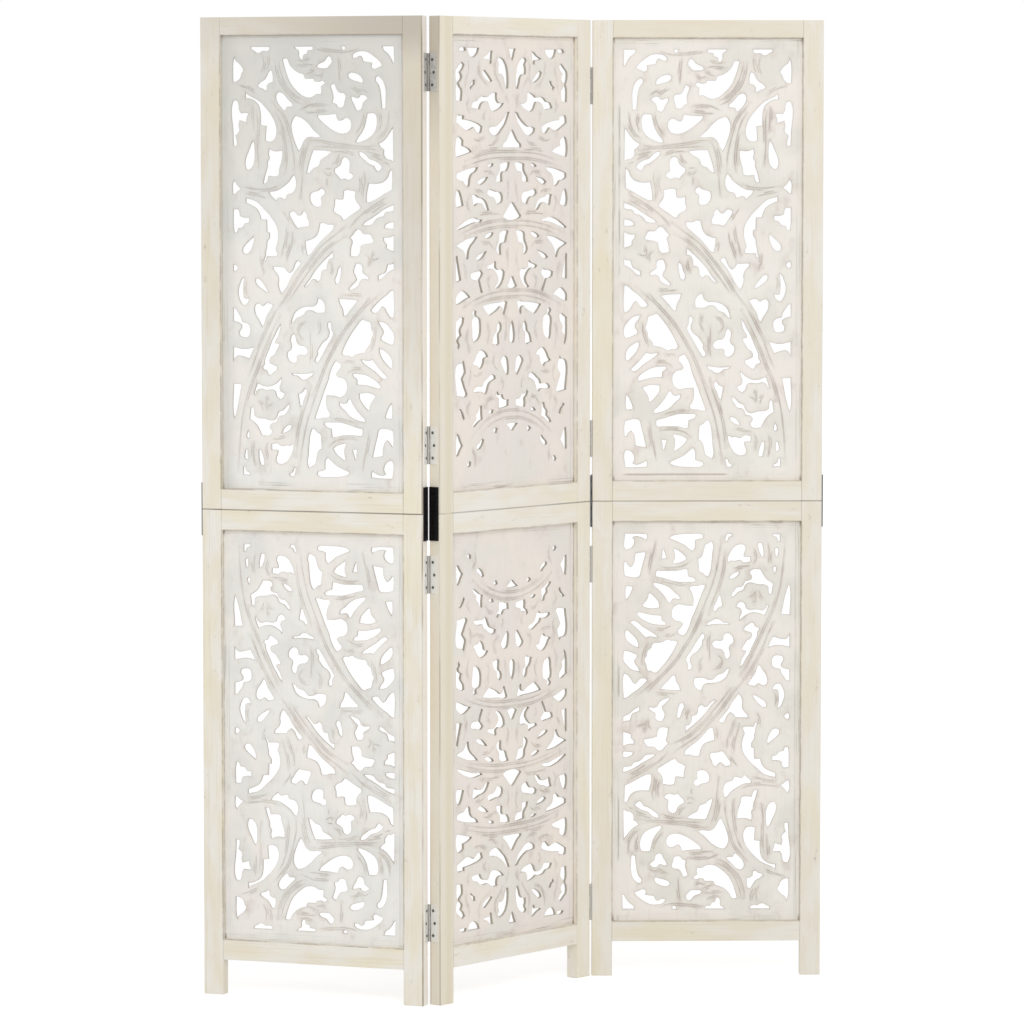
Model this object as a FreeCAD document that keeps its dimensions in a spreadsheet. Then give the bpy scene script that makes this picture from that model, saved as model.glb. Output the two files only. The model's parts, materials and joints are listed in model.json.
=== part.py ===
import FreeCAD, Part
import Sketcher
import math
import os

os.makedirs("parts", exist_ok=True)

# screen and frame stock, in millimetres
panel_wide = 396
upper_tall = 825
lower_tall = 825
stock_thick = 22
stile_wide = 35
head_wide = 30
rail_wide = 35
foot_tall = 60

# carved boards and the grooves that hold them
board_thick = 6
groove_deep = 8
board_play = 1
field_side = 19
field_end = 18

# tenons at the rail ends
tenon_long = 24
tenon_shoulder = 5
mortise_play = 1

# hinges at the folds, each with a pin fixed in the two end knuckles
fold_gap = 4
hinge_tall = 63
leaf_thick = 1
leaf_reach = 15
knuckle_radius = 1.9
knuckle_clear = 0.4
knuckle_gap = 0.3
knuckle_tall = 21
pin_proud = 0.5
pin_radius = 1
pin_clear = 0.05

# how far the middle of each hinge is from the end of its frame
left_fold_top = 93
left_fold_above = 114
left_fold_below = 102
left_fold_low = 138
right_fold_top = 112
right_fold_above = 108
right_fold_below = 109
right_fold_low = 129

# plates across the middle joint
plate_tall = 90
plate_wide = 20
plate_thick = 1.75

# how far a cut runs past the face
overrun = 2

# the sizes that the features are bound to, and the places that follow from them
cells = {
    "panel_wide": panel_wide,
    "upper_tall": upper_tall,
    "lower_tall": lower_tall,
    "stock_thick": stock_thick,
    "stile_wide": stile_wide,
    "head_wide": head_wide,
    "rail_wide": rail_wide,
    "foot_tall": foot_tall,
    "board_thick": board_thick,
    "groove_deep": groove_deep,
    "board_play": board_play,
    "field_side": field_side,
    "field_end": field_end,
    "tenon_long": tenon_long,
    "tenon_shoulder": tenon_shoulder,
    "mortise_play": mortise_play,
    "fold_gap": fold_gap,
    "hinge_tall": hinge_tall,
    "leaf_thick": leaf_thick,
    "leaf_reach": leaf_reach,
    "knuckle_radius": knuckle_radius,
    "knuckle_clear": knuckle_clear,
    "knuckle_gap": knuckle_gap,
    "knuckle_tall": knuckle_tall,
    "pin_radius": pin_radius,
    "pin_clear": pin_clear,
    "plate_tall": plate_tall,
    "plate_wide": plate_wide,
    "plate_thick": plate_thick,
    "overrun": overrun,
    "half_gap": "=fold_gap / 2",
    "open_wide": "=panel_wide - 2 * stile_wide",
    "right_stile": "=panel_wide - stile_wide",
    "upper_open": "=upper_tall - head_wide - rail_wide",
    "lower_open": "=lower_tall - foot_tall - 2 * rail_wide",
    "upper_low": "=lower_tall + rail_wide",
    "lower_low": "=foot_tall + rail_wide",
    "board_front": "=(stock_thick - board_thick) / 2",
    "board_back": "=(stock_thick + board_thick) / 2",
    "board_edge": "=groove_deep - board_play",
    "plate_middle": "=(stock_thick - plate_wide) / 2",
    "plate_back": "=stock_thick - plate_wide",
    "leaf_face": "=half_gap - leaf_thick",
    "leaf_start": "=knuckle_radius + knuckle_clear",
    "bore_radius": "=pin_radius + pin_clear",
}
doc = FreeCAD.newDocument("room_divider")
sheet = doc.addObject("Spreadsheet::Sheet", "sizes")
for row, name in enumerate(cells, 1):
    sheet.set("A%d" % row, name)
    sheet.set("B%d" % row, str(cells[name]))
    sheet.setAlias("B%d" % row, name)
doc.recompute()

# angle of each panel about the upright, in degrees, as the screen stands
left_angle = -19.1
centre_angle = 49.9
right_angle = 1.5


def turned(point, angle):
    angle = math.radians(angle)
    x = point[0] * math.cos(angle) - point[1] * math.sin(angle)
    y = point[0] * math.sin(angle) + point[1] * math.cos(angle)
    return (x, y)


def less(first, second):
    return (first[0] - second[0], first[1] - second[1])


# the centre panel stands first and the others hang on its pins
half_gap = fold_gap / 2
behind = stock_thick + pin_proud
before = -pin_proud
past = panel_wide + half_gap
near = -half_gap
left_pin = turned((near, behind), centre_angle)
right_pin = turned((past, before), centre_angle)
corner = {
    "centre": (0, 0),
    "left": less(left_pin, turned((past, behind), left_angle)),
    "right": less(right_pin, turned((near, before), right_angle)),
}
angles = {"left": left_angle, "centre": centre_angle, "right": right_angle}
reach_x = []
reach_y = []
for panel in corner:
    low_x = 0
    high_x = panel_wide
    if panel == "left":
        low_x = -plate_thick
    if panel == "right":
        high_x = panel_wide + plate_thick
    for x in (low_x, high_x):
        for y in (0, stock_thick):
            spot = turned((x, y), angles[panel])
            reach_x.append(spot[0] + corner[panel][0])
            reach_y.append(spot[1] + corner[panel][1])
middle_x = (min(reach_x) + max(reach_x)) / 2
middle_y = (min(reach_y) + max(reach_y)) / 2


def stand(panel):
    base = FreeCAD.Vector(corner[panel][0] - middle_x, corner[panel][1] - middle_y, 0)
    return FreeCAD.Placement(base, FreeCAD.Rotation(FreeCAD.Vector(0, 0, 1), angles[panel]))


def new_body(label, placement):
    body = doc.addObject("PartDesign::Body", label)
    body.Label = label
    body.Placement = placement
    return body


def new_sketch(body, role, offset):
    sketch = body.newObject("Sketcher::SketchObject", "outline")
    plane = [item for item in body.Origin.OriginFeatures if item.Role == role][0]
    sketch.AttachmentSupport = [(plane, "")]
    sketch.MapMode = "FlatFace"
    sketch.setExpression("AttachmentOffset.Base.z", offset)
    return sketch


def worth(expression):
    answer = sheet.evalExpression(expression.replace("sizes.", ""))
    return float(getattr(answer, "Value", answer))


def hold(sketch, kind, start, end, expression):
    amount = worth(expression)
    if amount < 0:
        start, end = end, start
        expression = "-(" + expression + ")"
    number = sketch.addConstraint(
        Sketcher.Constraint(kind, start[0], start[1], end[0], end[1], abs(amount)))
    sketch.setExpression("Constraints[%d]" % number, expression)


def rectangle(sketch, left, low, wide, tall):
    x = worth(left)
    y = worth(low)
    far_x = x + worth(wide)
    far_y = y + worth(tall)
    spots = [(x, y), (far_x, y), (far_x, far_y), (x, far_y)]
    first = sketch.GeometryCount
    for number in range(4):
        here = FreeCAD.Vector(spots[number][0], spots[number][1], 0)
        there = spots[(number + 1) % 4]
        there = FreeCAD.Vector(there[0], there[1], 0)
        sketch.addGeometry(Part.LineSegment(here, there), False)
    for number in range(4):
        following = first + (number + 1) % 4
        sketch.addConstraint(Sketcher.Constraint("Coincident", first + number, 2, following, 1))
    sketch.addConstraint(Sketcher.Constraint("Horizontal", first))
    sketch.addConstraint(Sketcher.Constraint("Vertical", first + 1))
    sketch.addConstraint(Sketcher.Constraint("Horizontal", first + 2))
    sketch.addConstraint(Sketcher.Constraint("Vertical", first + 3))
    if left == "0":
        sketch.addConstraint(Sketcher.Constraint("PointOnObject", first, 1, -2))
    else:
        hold(sketch, "DistanceX", (-1, 1), (first, 1), left)
    if low == "0":
        sketch.addConstraint(Sketcher.Constraint("PointOnObject", first, 1, -1))
    else:
        hold(sketch, "DistanceY", (-1, 1), (first, 1), low)
    hold(sketch, "DistanceX", (first, 1), (first, 2), wide)
    hold(sketch, "DistanceY", (first + 1, 1), (first + 1, 2), tall)


def circle(sketch, radius):
    round_edge = Part.Circle(FreeCAD.Vector(0, 0, 0), FreeCAD.Vector(0, 0, 1), worth(radius))
    number = sketch.addGeometry(round_edge, False)
    sketch.addConstraint(Sketcher.Constraint("Coincident", number, 3, -1, 1))
    held = sketch.addConstraint(Sketcher.Constraint("Radius", number, worth(radius)))
    sketch.setExpression("Constraints[%d]" % held, radius)


def pad(body, sketch, length):
    feature = body.newObject("PartDesign::Pad", "pad")
    feature.Profile = sketch
    feature.setExpression("Length", length)
    return feature


def pocket(body, sketch, length):
    feature = body.newObject("PartDesign::Pocket", "pocket")
    feature.Profile = sketch
    feature.setExpression("Length", length)
    return feature


def bar(body, role, offset, box, length):
    sketch = new_sketch(body, role, offset)
    rectangle(sketch, *box)
    return pad(body, sketch, length)


def slot(body, role, offset, box, length):
    sketch = new_sketch(body, role, offset)
    rectangle(sketch, *box)
    return pocket(body, sketch, length)


exports = []


# upright of a frame, grooved for the board and mortised for the rails
def stile(panel, half, side):
    body = new_body("%s_%s_%s_stile" % (panel, half, side), stand(panel))
    low = "sizes.lower_tall"
    tall = "sizes.upper_tall"
    open_low = "sizes.upper_low"
    open_tall = "sizes.upper_open"
    top_wide = "sizes.head_wide"
    if half == "lower":
        low = "0"
        tall = "sizes.lower_tall"
        open_low = "sizes.lower_low"
        open_tall = "sizes.lower_open"
        top_wide = "sizes.rail_wide"
    start = "0"
    inner = "sizes.stile_wide"
    if side == "right":
        start = "sizes.right_stile"
        inner = "sizes.right_stile"
    bar(body, "XY_Plane", low, (start, "0", "sizes.stile_wide", "sizes.stock_thick"), tall)
    groove_top = open_low + " + " + open_tall + " + sizes.groove_deep"
    groove_left = inner + " - sizes.groove_deep"
    if side == "right":
        groove_left = inner
    slot(body, "XY_Plane", groove_top,
         (groove_left, "sizes.board_front", "sizes.groove_deep", "sizes.board_thick"),
         open_tall + " + 2 * sizes.groove_deep")
    rails = [(open_low + " - sizes.rail_wide + sizes.tenon_shoulder", "sizes.rail_wide"),
             (open_low + " + " + open_tall + " + sizes.groove_deep", top_wide)]
    for base, wide in rails:
        tenon_tall = wide + " - sizes.groove_deep - sizes.tenon_shoulder"
        cut = slot(body, "YZ_Plane", inner,
                   ("sizes.board_front", base, "sizes.board_thick", tenon_tall),
                   "sizes.tenon_long + sizes.mortise_play")
        cut.Reversed = side == "right"
    exports.append(body)


# cross rail with a tenon at each end and a groove for the board
def rail(panel, half, side):
    body = new_body("%s_%s_%s_rail" % (panel, half, side), stand(panel))
    open_low = "sizes.upper_low"
    open_tall = "sizes.upper_open"
    wide = "sizes.rail_wide"
    if half == "lower":
        open_low = "sizes.lower_low"
        open_tall = "sizes.lower_open"
    if half == "upper" and side == "top":
        wide = "sizes.head_wide"
    low = open_low + " - sizes.rail_wide"
    groove = open_low + " - sizes.groove_deep"
    tenon_low = low + " + sizes.tenon_shoulder"
    if side == "top":
        low = open_low + " + " + open_tall
        groove = low
        tenon_low = low + " + sizes.groove_deep"
    bar(body, "YZ_Plane", "sizes.stile_wide", ("0", low, "sizes.stock_thick", wide), "sizes.open_wide")
    bar(body, "YZ_Plane", "sizes.stile_wide - sizes.tenon_long",
        ("sizes.board_front", tenon_low, "sizes.board_thick",
         wide + " - sizes.groove_deep - sizes.tenon_shoulder"),
        "sizes.open_wide + 2 * sizes.tenon_long")
    slot(body, "YZ_Plane", "sizes.right_stile",
         ("sizes.board_front", groove, "sizes.board_thick", "sizes.groove_deep"), "sizes.open_wide")
    exports.append(body)


# Cut-outs of the side boards, a quarter of a great rosette. Each is a list of corners in
# shares of the pierced field: width_shares make its width, from the fold outwards, and
# length_shares make its length, from the end of the screen to the middle joint.
width_shares = 100
length_shares = 250
side_shares = [
    [(0, 1), (7, 1), (0, 10)],
    [(7.5, 12), (13, 5.8), (20, 3.4), (25.5, 6.3), (13, 12.8)],
    [(68, 7.6), (64, 21.5), (55, 29.4), (45, 28), (42.3, 21.5), (54.7, 19)],
    [(71.5, 26.5), (72.5, 31), (62.6, 34.5)],
    [(91.8, 28.4), (84.5, 33.5), (82.3, 45.5), (79.4, 54.5), (75, 54.6), (72.6, 49), (76.5, 39), (83, 31.5)],
    [(98.5, 31.2), (99.5, 57.5), (97.5, 57.5), (96, 43), (90.5, 42), (95, 38.8)],
    [(9.8, 17.5), (11.3, 19.5), (7.4, 36), (5, 36), (5.4, 24)],
    [(16, 30), (19, 28.5), (26.4, 29.3), (22.3, 37.5), (20, 36.4)],
    [(37, 21.5), (39.2, 23), (38, 32.5), (32.5, 35.6), (29.6, 29)],
    [(35.5, 39.5), (47.4, 40), (38, 48.5), (29.5, 50.3), (26.5, 43)],
    [(11.5, 39), (16.4, 39), (23.5, 55), (15, 52.8), (10.4, 44)],
    [(0.4, 47), (9.5, 56.3), (5, 65), (0.4, 66)],
    [(60.5, 40.2), (63.5, 46), (59, 60.5), (53.5, 52.5), (45.3, 52), (52.5, 45)],
    [(27.3, 66.5), (31, 64), (36.8, 71.5), (33, 77), (25, 75.3)],
    [(38.5, 60.8), (50, 60), (54, 73.3), (46.5, 69)],
    [(69, 60.3), (77.3, 59.5), (81, 79), (77.8, 74.7), (71.5, 74.3)],
    [(87.2, 54.5), (92.3, 68), (87.5, 69.5)],
    [(1, 71), (7, 78.3), (15.6, 79), (17, 89.5), (1.3, 82.5)],
    [(23.8, 83.6), (31.5, 84), (36.7, 87.8), (37.5, 94.7), (30.5, 100), (21, 92.5)],
    [(61.5, 74.3), (68, 80.5), (77.2, 84), (72.5, 89), (60.5, 82)],
    [(54.5, 95.2), (64.8, 95.8), (59.5, 105), (52.5, 103.5)],
    [(91.8, 89), (82.5, 97.5), (77.5, 107), (80, 121), (72.3, 120.8), (71.7, 108), (77, 97.5)],
    [(96.5, 94), (99.8, 94.3), (99.3, 107.5), (97, 107), (89.8, 100.3), (95.5, 98)],
    [(22.3, 105.3), (27.3, 110), (27, 120.5), (22.5, 120.8), (20.5, 114.8), (12.5, 110.5)],
    [(45.8, 101.8), (48, 109.5), (55, 112.3), (53.5, 120.5), (37.2, 104)],
    [(37.9, 118.3), (55.5, 138.5), (46.5, 135.5), (37.6, 121.8)],
    [(20, 125.2), (24.2, 125), (23.5, 134), (28, 139.8), (18, 134.5)],
    [(59.8, 123.7), (64.8, 130.8), (75.2, 127.2), (69.5, 142.7), (57.7, 125.3)],
    [(0.4, 140.2), (14.3, 152), (8.5, 151.5), (0.6, 156.2)],
    [(46.5, 145), (49.5, 149.8), (58, 151), (63.8, 159.5), (54, 153), (43, 153.3)],
    [(75.2, 149), (86, 148.5), (86.7, 152), (82, 162)],
    [(9.8, 158), (8.3, 168.5), (0.8, 171.5), (0.4, 165)],
    [(15, 158.5), (20, 157), (32.5, 177), (26.5, 178.8), (18, 176), (13, 165.3)],
    [(36.3, 181.2), (49.3, 214.5), (39.8, 213.2), (42.3, 202), (31, 201), (29.2, 195), (35.8, 189.5)],
    [(62.3, 165.8), (64.2, 168), (66.3, 178), (62.5, 182.8), (53.5, 176), (60.5, 171)],
    [(70.3, 160.3), (76, 170), (81.5, 185.8), (77.3, 190), (77.4, 181.5), (71.5, 171.5)],
    [(99.8, 151.5), (99.8, 158.8), (96, 166.5), (92, 168.3), (89.5, 164), (94.8, 158.5)],
    [(87.3, 173.5), (99.8, 174.5), (99.8, 180.5)],
    [(70, 191.3), (77, 196.3), (85, 194.7), (87.2, 201), (74, 199), (69.5, 202.5)],
    [(43.4, 217), (38.3, 225), (20, 224.2), (19.8, 220.2), (33, 216.8)],
    [(0.5, 221), (9, 220), (13.5, 236.3), (7.3, 235.3), (4.7, 226.5), (0.8, 229.8)],
    [(1, 238.5), (6.5, 244.5), (14, 245.5), (14, 248.3), (1, 248.4)],
    [(50, 220.5), (54, 240.5), (52.5, 243.3), (45, 231.8), (46, 223.5)],
    [(41.8, 237), (43.3, 244), (48, 247.5), (28, 246)],
    [(65, 206.5), (73.5, 214.5), (87, 213.5), (88.2, 208.5), (90, 215.5), (82.5, 224.8), (76.2, 223),
     (76.5, 217.5)],
    [(62.6, 230), (76.3, 230.3), (72.5, 234), (72, 241), (67, 240)],
]

# Cut-outs of the centre board, in the same shares but measured from its upright middle line.
# The paired ones stand on both sides of the line, the others on it.
paired_shares = [
    [(13.2, 8), (11.8, 6.2), (5.5, 10), (3.4, 18), (4, 24.3), (12.4, 15.8)],
    [(50, 14), (45, 9.3), (42.8, 11), (46.4, 15.2), (45.2, 31.6), (50, 31.8)],
    [(36.8, 35.4), (35.2, 32.6), (27, 29), (13.6, 26.8), (13.2, 31.5), (7.8, 33), (16.7, 37.6), (23.5, 32)],
    [(49.8, 41), (43.3, 41.5), (29.2, 45.2), (27, 48.5), (30.7, 50.2), (40.7, 48.6), (49.8, 44)],
    [(20.7, 47.6), (14.7, 46.2), (2.4, 37.7), (5.7, 44.5), (12.2, 50.7), (17, 51.3)],
    [(50, 53), (43.8, 54.3), (44, 57.5), (36.5, 61), (50, 64)],
    [(11, 68), (2.4, 67), (4.9, 72), (9, 78), (14.5, 78.3)],
    [(49.7, 73.5), (30.8, 69.8), (36.7, 74.5), (39, 81), (49.8, 76)],
    [(50, 84), (48, 82.8), (43.7, 91.8), (50, 92.8)],
    [(36.3, 86), (32.7, 85.7), (24.2, 89), (21.3, 94.8), (34.2, 91.5)],
    [(22.2, 84.2), (10.2, 84.5), (8.5, 87.5), (13, 91.4), (16.7, 87.3)],
    [(11.2, 108), (3.3, 106.8), (5.9, 113.2), (10.5, 120.5), (14.2, 117.8)],
    [(50, 114.7), (31.2, 109.8), (38.7, 118), (40.3, 122.9)],
    [(22.8, 127.6), (14.7, 125), (7, 129.8), (8, 135.5), (14.2, 140.1), (12.8, 133)],
    [(37.5, 131.2), (26.3, 130), (29.3, 134.8), (27, 142.5), (36.9, 133.6)],
    [(50, 144.8), (45.2, 140.7), (37.7, 144.6), (50, 148.6)],
    [(26.4, 150), (4.8, 147.5), (7.5, 155.6), (10.2, 150.6), (20.7, 155.4)],
    [(36.4, 160), (34, 152.2), (28.6, 158.5), (28.5, 166), (32.7, 170.3), (35.5, 168.5)],
    [(13.9, 163.5), (11.7, 159.4), (9.8, 162.5), (12.5, 173), (17.9, 172)],
    [(35.4, 183.2), (28.7, 175.5), (21.8, 179.4), (25.3, 181), (28.8, 186.6)],
    [(50, 184), (43.7, 180.8), (42.5, 190), (40.6, 201.6), (50, 201)],
    [(34.8, 199), (26.7, 196.8), (17.7, 189.9), (15, 192), (23.5, 201.2)],
    [(13.2, 199.8), (3.3, 205), (3.5, 208.5), (11.7, 209.9), (12.3, 204)],
    [(36, 219.4), (29.2, 207.8), (27.2, 208), (26.8, 215.6)],
]
middle_shares = [
    [(3.2, 1.2), (0, 8.3), (-3.2, 1.2)],
    [(8.6, 58), (0, 48), (-8.6, 58)],
    [(8.2, 98.7), (0, 90.2), (-8.2, 98.7)],
    [(0, 158.8), (2.4, 168), (0, 172), (-2.4, 168)],
]


def outlines(panel):
    shapes = []
    if panel == "centre":
        for points in paired_shares:
            shapes.append([(0.5 - u / width_shares, v / length_shares) for u, v in points])
            shapes.append([(0.5 + u / width_shares, v / length_shares) for u, v in points])
        for points in middle_shares:
            shapes.append([(0.5 + u / width_shares, v / length_shares) for u, v in points])
    if panel == "right":
        for points in side_shares:
            shapes.append([(u / width_shares, v / length_shares) for u, v in points])
    if panel == "left":
        for points in side_shares:
            shapes.append([(1 - u / width_shares, v / length_shares) for u, v in points])
    return shapes


# pierced board that slides in the grooves and rests in the bottom one
def carving(panel, half):
    body = new_body("%s_%s_carving" % (panel, half), stand(panel))
    open_low = "sizes.upper_low"
    open_tall = "sizes.upper_open"
    if half == "lower":
        open_low = "sizes.lower_low"
        open_tall = "sizes.lower_open"
    bar(body, "XZ_Plane", "-sizes.board_back",
        ("sizes.stile_wide - sizes.board_edge", open_low + " - sizes.groove_deep",
         "sizes.open_wide + 2 * sizes.board_edge", open_tall + " + sizes.groove_deep + sizes.board_edge"),
        "sizes.board_thick")
    sketch = new_sketch(body, "XZ_Plane", "-sizes.board_front")
    field_left = stile_wide + field_side
    field_wide = worth("open_wide") - 2 * field_side
    field_low = worth(open_low) + field_end
    field_tall = worth(open_tall) - 2 * field_end
    lines = []
    for shape in outlines(panel):
        spots = []
        for across, along in shape:
            up = 1 - along
            if half == "lower":
                up = along
            spots.append(FreeCAD.Vector(field_left + across * field_wide, field_low + up * field_tall, 0))
        for number in range(len(spots)):
            lines.append(Part.LineSegment(spots[number], spots[(number + 1) % len(spots)]))
    sketch.addGeometry(lines, False)
    pocket(body, sketch, "sizes.board_thick + sizes.overrun")
    exports.append(body)


def round_bar(body, radius, low, tall):
    sketch = new_sketch(body, "XY_Plane", low)
    circle(sketch, radius)
    pad(body, sketch, tall)


# Leaf of a hinge on the upright pin line, with its wood at the far side of both axes. One leaf
# has the two end knuckles with the pin fixed in them, the other a bored knuckle between them.
def leaf(label, placement, holds_pin):
    body = new_body(label, placement)
    bottom = "-sizes.hinge_tall / 2"
    low = "-sizes.knuckle_tall / 2 + sizes.knuckle_gap / 2"
    tall = "sizes.knuckle_tall - sizes.knuckle_gap"
    if holds_pin:
        low = bottom
        tall = "sizes.hinge_tall"
    bar(body, "XY_Plane", bottom,
        ("sizes.leaf_face", "sizes.leaf_start", "sizes.leaf_thick", "sizes.leaf_reach"),
        "sizes.hinge_tall")
    bar(body, "XY_Plane", low,
        ("sizes.leaf_face", "0", "sizes.knuckle_radius - sizes.leaf_face", "sizes.leaf_start"), tall)
    round_bar(body, "sizes.knuckle_radius", low, tall)
    if holds_pin:
        slot(body, "XY_Plane", "sizes.knuckle_tall / 2 + sizes.knuckle_gap / 2",
             ("-sizes.knuckle_radius - sizes.overrun", "-sizes.knuckle_radius - sizes.overrun",
              "sizes.knuckle_radius + sizes.half_gap + 2 * sizes.overrun",
              "sizes.knuckle_radius + sizes.leaf_start + sizes.overrun"),
             "sizes.knuckle_tall + sizes.knuckle_gap")
        round_bar(body, "sizes.pin_radius", bottom, "sizes.hinge_tall")
    else:
        sketch = new_sketch(body, "XY_Plane", "sizes.hinge_tall / 2")
        circle(sketch, "sizes.bore_radius")
        pocket(body, sketch, "sizes.hinge_tall")
    return body


def group(label, members):
    bundle = doc.addObject("Part::Compound", label)
    bundle.Label = label
    bundle.Links = members
    exports.append(bundle)


# plate screwed over the joint between the two frames of a panel, on an outer edge, flush with
# the face that has the pin line where the edge is at a fold
def plate(panel, side):
    body = new_body("%s_%s_plate" % (panel, side), stand(panel))
    start = "-sizes.plate_thick"
    if side == "right":
        start = "sizes.panel_wide"
    front = "sizes.plate_middle"
    if (panel, side) in (("left", "right"), ("centre", "left")):
        front = "sizes.plate_back"
    if (panel, side) in (("centre", "right"), ("right", "left")):
        front = "0"
    bar(body, "XY_Plane", "sizes.lower_tall - sizes.plate_tall / 2",
        (start, front, "sizes.plate_thick", "sizes.plate_wide"), "sizes.plate_tall")
    exports.append(body)


for panel in ("left", "centre", "right"):
    for half in ("upper", "lower"):
        stile(panel, half, "left")
        stile(panel, half, "right")
        rail(panel, half, "top")
        rail(panel, half, "bottom")
        carving(panel, half)
    plate(panel, "left")
    plate(panel, "right")

# the pin line of each fold in the panel on either side, and how the leaf is turned there
half_turn = 180
upright = FreeCAD.Vector(0, 0, 1)
sideways = FreeCAD.Vector(1, 0, 0)
deep = FreeCAD.Vector(0, 1, 0)
folds = {
    "left_fold": [("left", past, behind, upright, False), ("centre", near, behind, sideways, True)],
    "right_fold": [("centre", past, before, deep, True), ("right", near, before, None, False)],
}
full_tall = upper_tall + lower_tall
heights = {
    ("left_fold", "upper"): [full_tall - left_fold_top, lower_tall + left_fold_above],
    ("left_fold", "lower"): [lower_tall - left_fold_below, left_fold_low],
    ("right_fold", "upper"): [full_tall - right_fold_top, lower_tall + right_fold_above],
    ("right_fold", "lower"): [lower_tall - right_fold_below, right_fold_low],
}
for fold, half in heights:
    for panel, x, y, axis, holds_pin in folds[fold]:
        leaves = []
        for height in heights[fold, half]:
            turn = FreeCAD.Rotation()
            if axis is not None:
                turn = FreeCAD.Rotation(axis, half_turn)
            place = stand(panel).multiply(FreeCAD.Placement(FreeCAD.Vector(x, y, height), turn))
            leaves.append(leaf("leaf", place, holds_pin))
        group("%s_%s_%s_leaves" % (fold, half, panel), leaves)

doc.recompute()

wrong = [item.Label for item in doc.Objects if "Invalid" in item.State or "Error" in item.State]
if wrong:
    raise RuntimeError("not built: " + ", ".join(wrong))
for item in exports:
    shape = item.Shape
    if shape.isNull() or not shape.isValid() or not shape.Solids:
        raise RuntimeError("bad shape: " + item.Label)
    shape.exportStep("parts/" + item.Label + ".step")
    print(item.Label, len(shape.Solids), round(shape.Volume))
print(len(exports), "nodes")
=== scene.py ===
import json
import math

import bmesh
import bpy
import numpy as np
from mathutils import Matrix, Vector
from mathutils.geometry import delaunay_2d_cdt
from mathutils.kdtree import KDTree


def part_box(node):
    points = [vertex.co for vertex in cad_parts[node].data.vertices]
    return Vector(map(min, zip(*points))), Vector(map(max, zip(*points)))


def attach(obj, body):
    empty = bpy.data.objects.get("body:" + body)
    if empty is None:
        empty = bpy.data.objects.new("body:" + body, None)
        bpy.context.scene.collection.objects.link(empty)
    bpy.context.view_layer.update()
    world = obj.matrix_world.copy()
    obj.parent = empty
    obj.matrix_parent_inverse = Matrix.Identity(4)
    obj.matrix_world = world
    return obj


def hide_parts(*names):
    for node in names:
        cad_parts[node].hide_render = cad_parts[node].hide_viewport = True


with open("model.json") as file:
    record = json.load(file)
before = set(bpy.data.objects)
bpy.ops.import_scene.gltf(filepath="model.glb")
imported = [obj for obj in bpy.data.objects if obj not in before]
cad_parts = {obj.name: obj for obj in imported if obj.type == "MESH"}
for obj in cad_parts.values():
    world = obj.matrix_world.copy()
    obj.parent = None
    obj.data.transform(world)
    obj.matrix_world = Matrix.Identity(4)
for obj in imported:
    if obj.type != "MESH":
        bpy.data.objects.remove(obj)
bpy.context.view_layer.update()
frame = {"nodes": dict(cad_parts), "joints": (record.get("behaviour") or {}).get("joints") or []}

nodes = frame["nodes"]
panels = ("left", "centre", "right")
halves = ("upper", "lower")
print("frame loaded:", len(nodes), "nodes")


# camera in front of the screen, tipped down to its middle
cameraLook = {"place": (-0.006, -8.465, 1.439), "lens": 176.08, "sensor": 36, "tip": 4.205}

cameraData = bpy.data.cameras.new("camera")
cameraData.lens = cameraLook["lens"]
cameraData.sensor_width = cameraLook["sensor"]
camera = bpy.data.objects.new("camera", cameraData)
camera.location = cameraLook["place"]
camera.rotation_euler = (math.radians(90 - cameraLook["tip"]), 0, 0)
bpy.context.scene.collection.objects.link(camera)
bpy.context.scene.camera = camera
print("camera set")


# shader maths on sockets
def plug(tree, slot, item):
    if isinstance(item, Flow):
        tree.links.new(item.socket, slot)
    else:
        slot.default_value = item


class Flow:
    def __init__(self, tree, socket):
        self.tree = tree
        self.socket = socket

    def math(self, operation, *items):
        node = self.tree.nodes.new("ShaderNodeMath")
        node.operation = operation
        for slot, item in zip(node.inputs, items):
            plug(self.tree, slot, item)
        return Flow(self.tree, node.outputs[0])

    def __add__(self, other):
        return self.math("ADD", self, other)

    def __sub__(self, other):
        return self.math("SUBTRACT", self, other)

    def __rsub__(self, other):
        return self.math("SUBTRACT", other, self)

    def __mul__(self, other):
        return self.math("MULTIPLY", self, other)

    def __abs__(self):
        return self.math("ABSOLUTE", self)

    def least(self, other):
        return self.math("MINIMUM", self, other)

    def most(self, other):
        return self.math("MAXIMUM", self, other)

    def root(self):
        return self.math("SQRT", self)


def findSocket(sockets, name):
    for socket in sockets:
        if name in (socket.identifier, socket.name):
            return socket
    raise KeyError(name)


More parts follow.
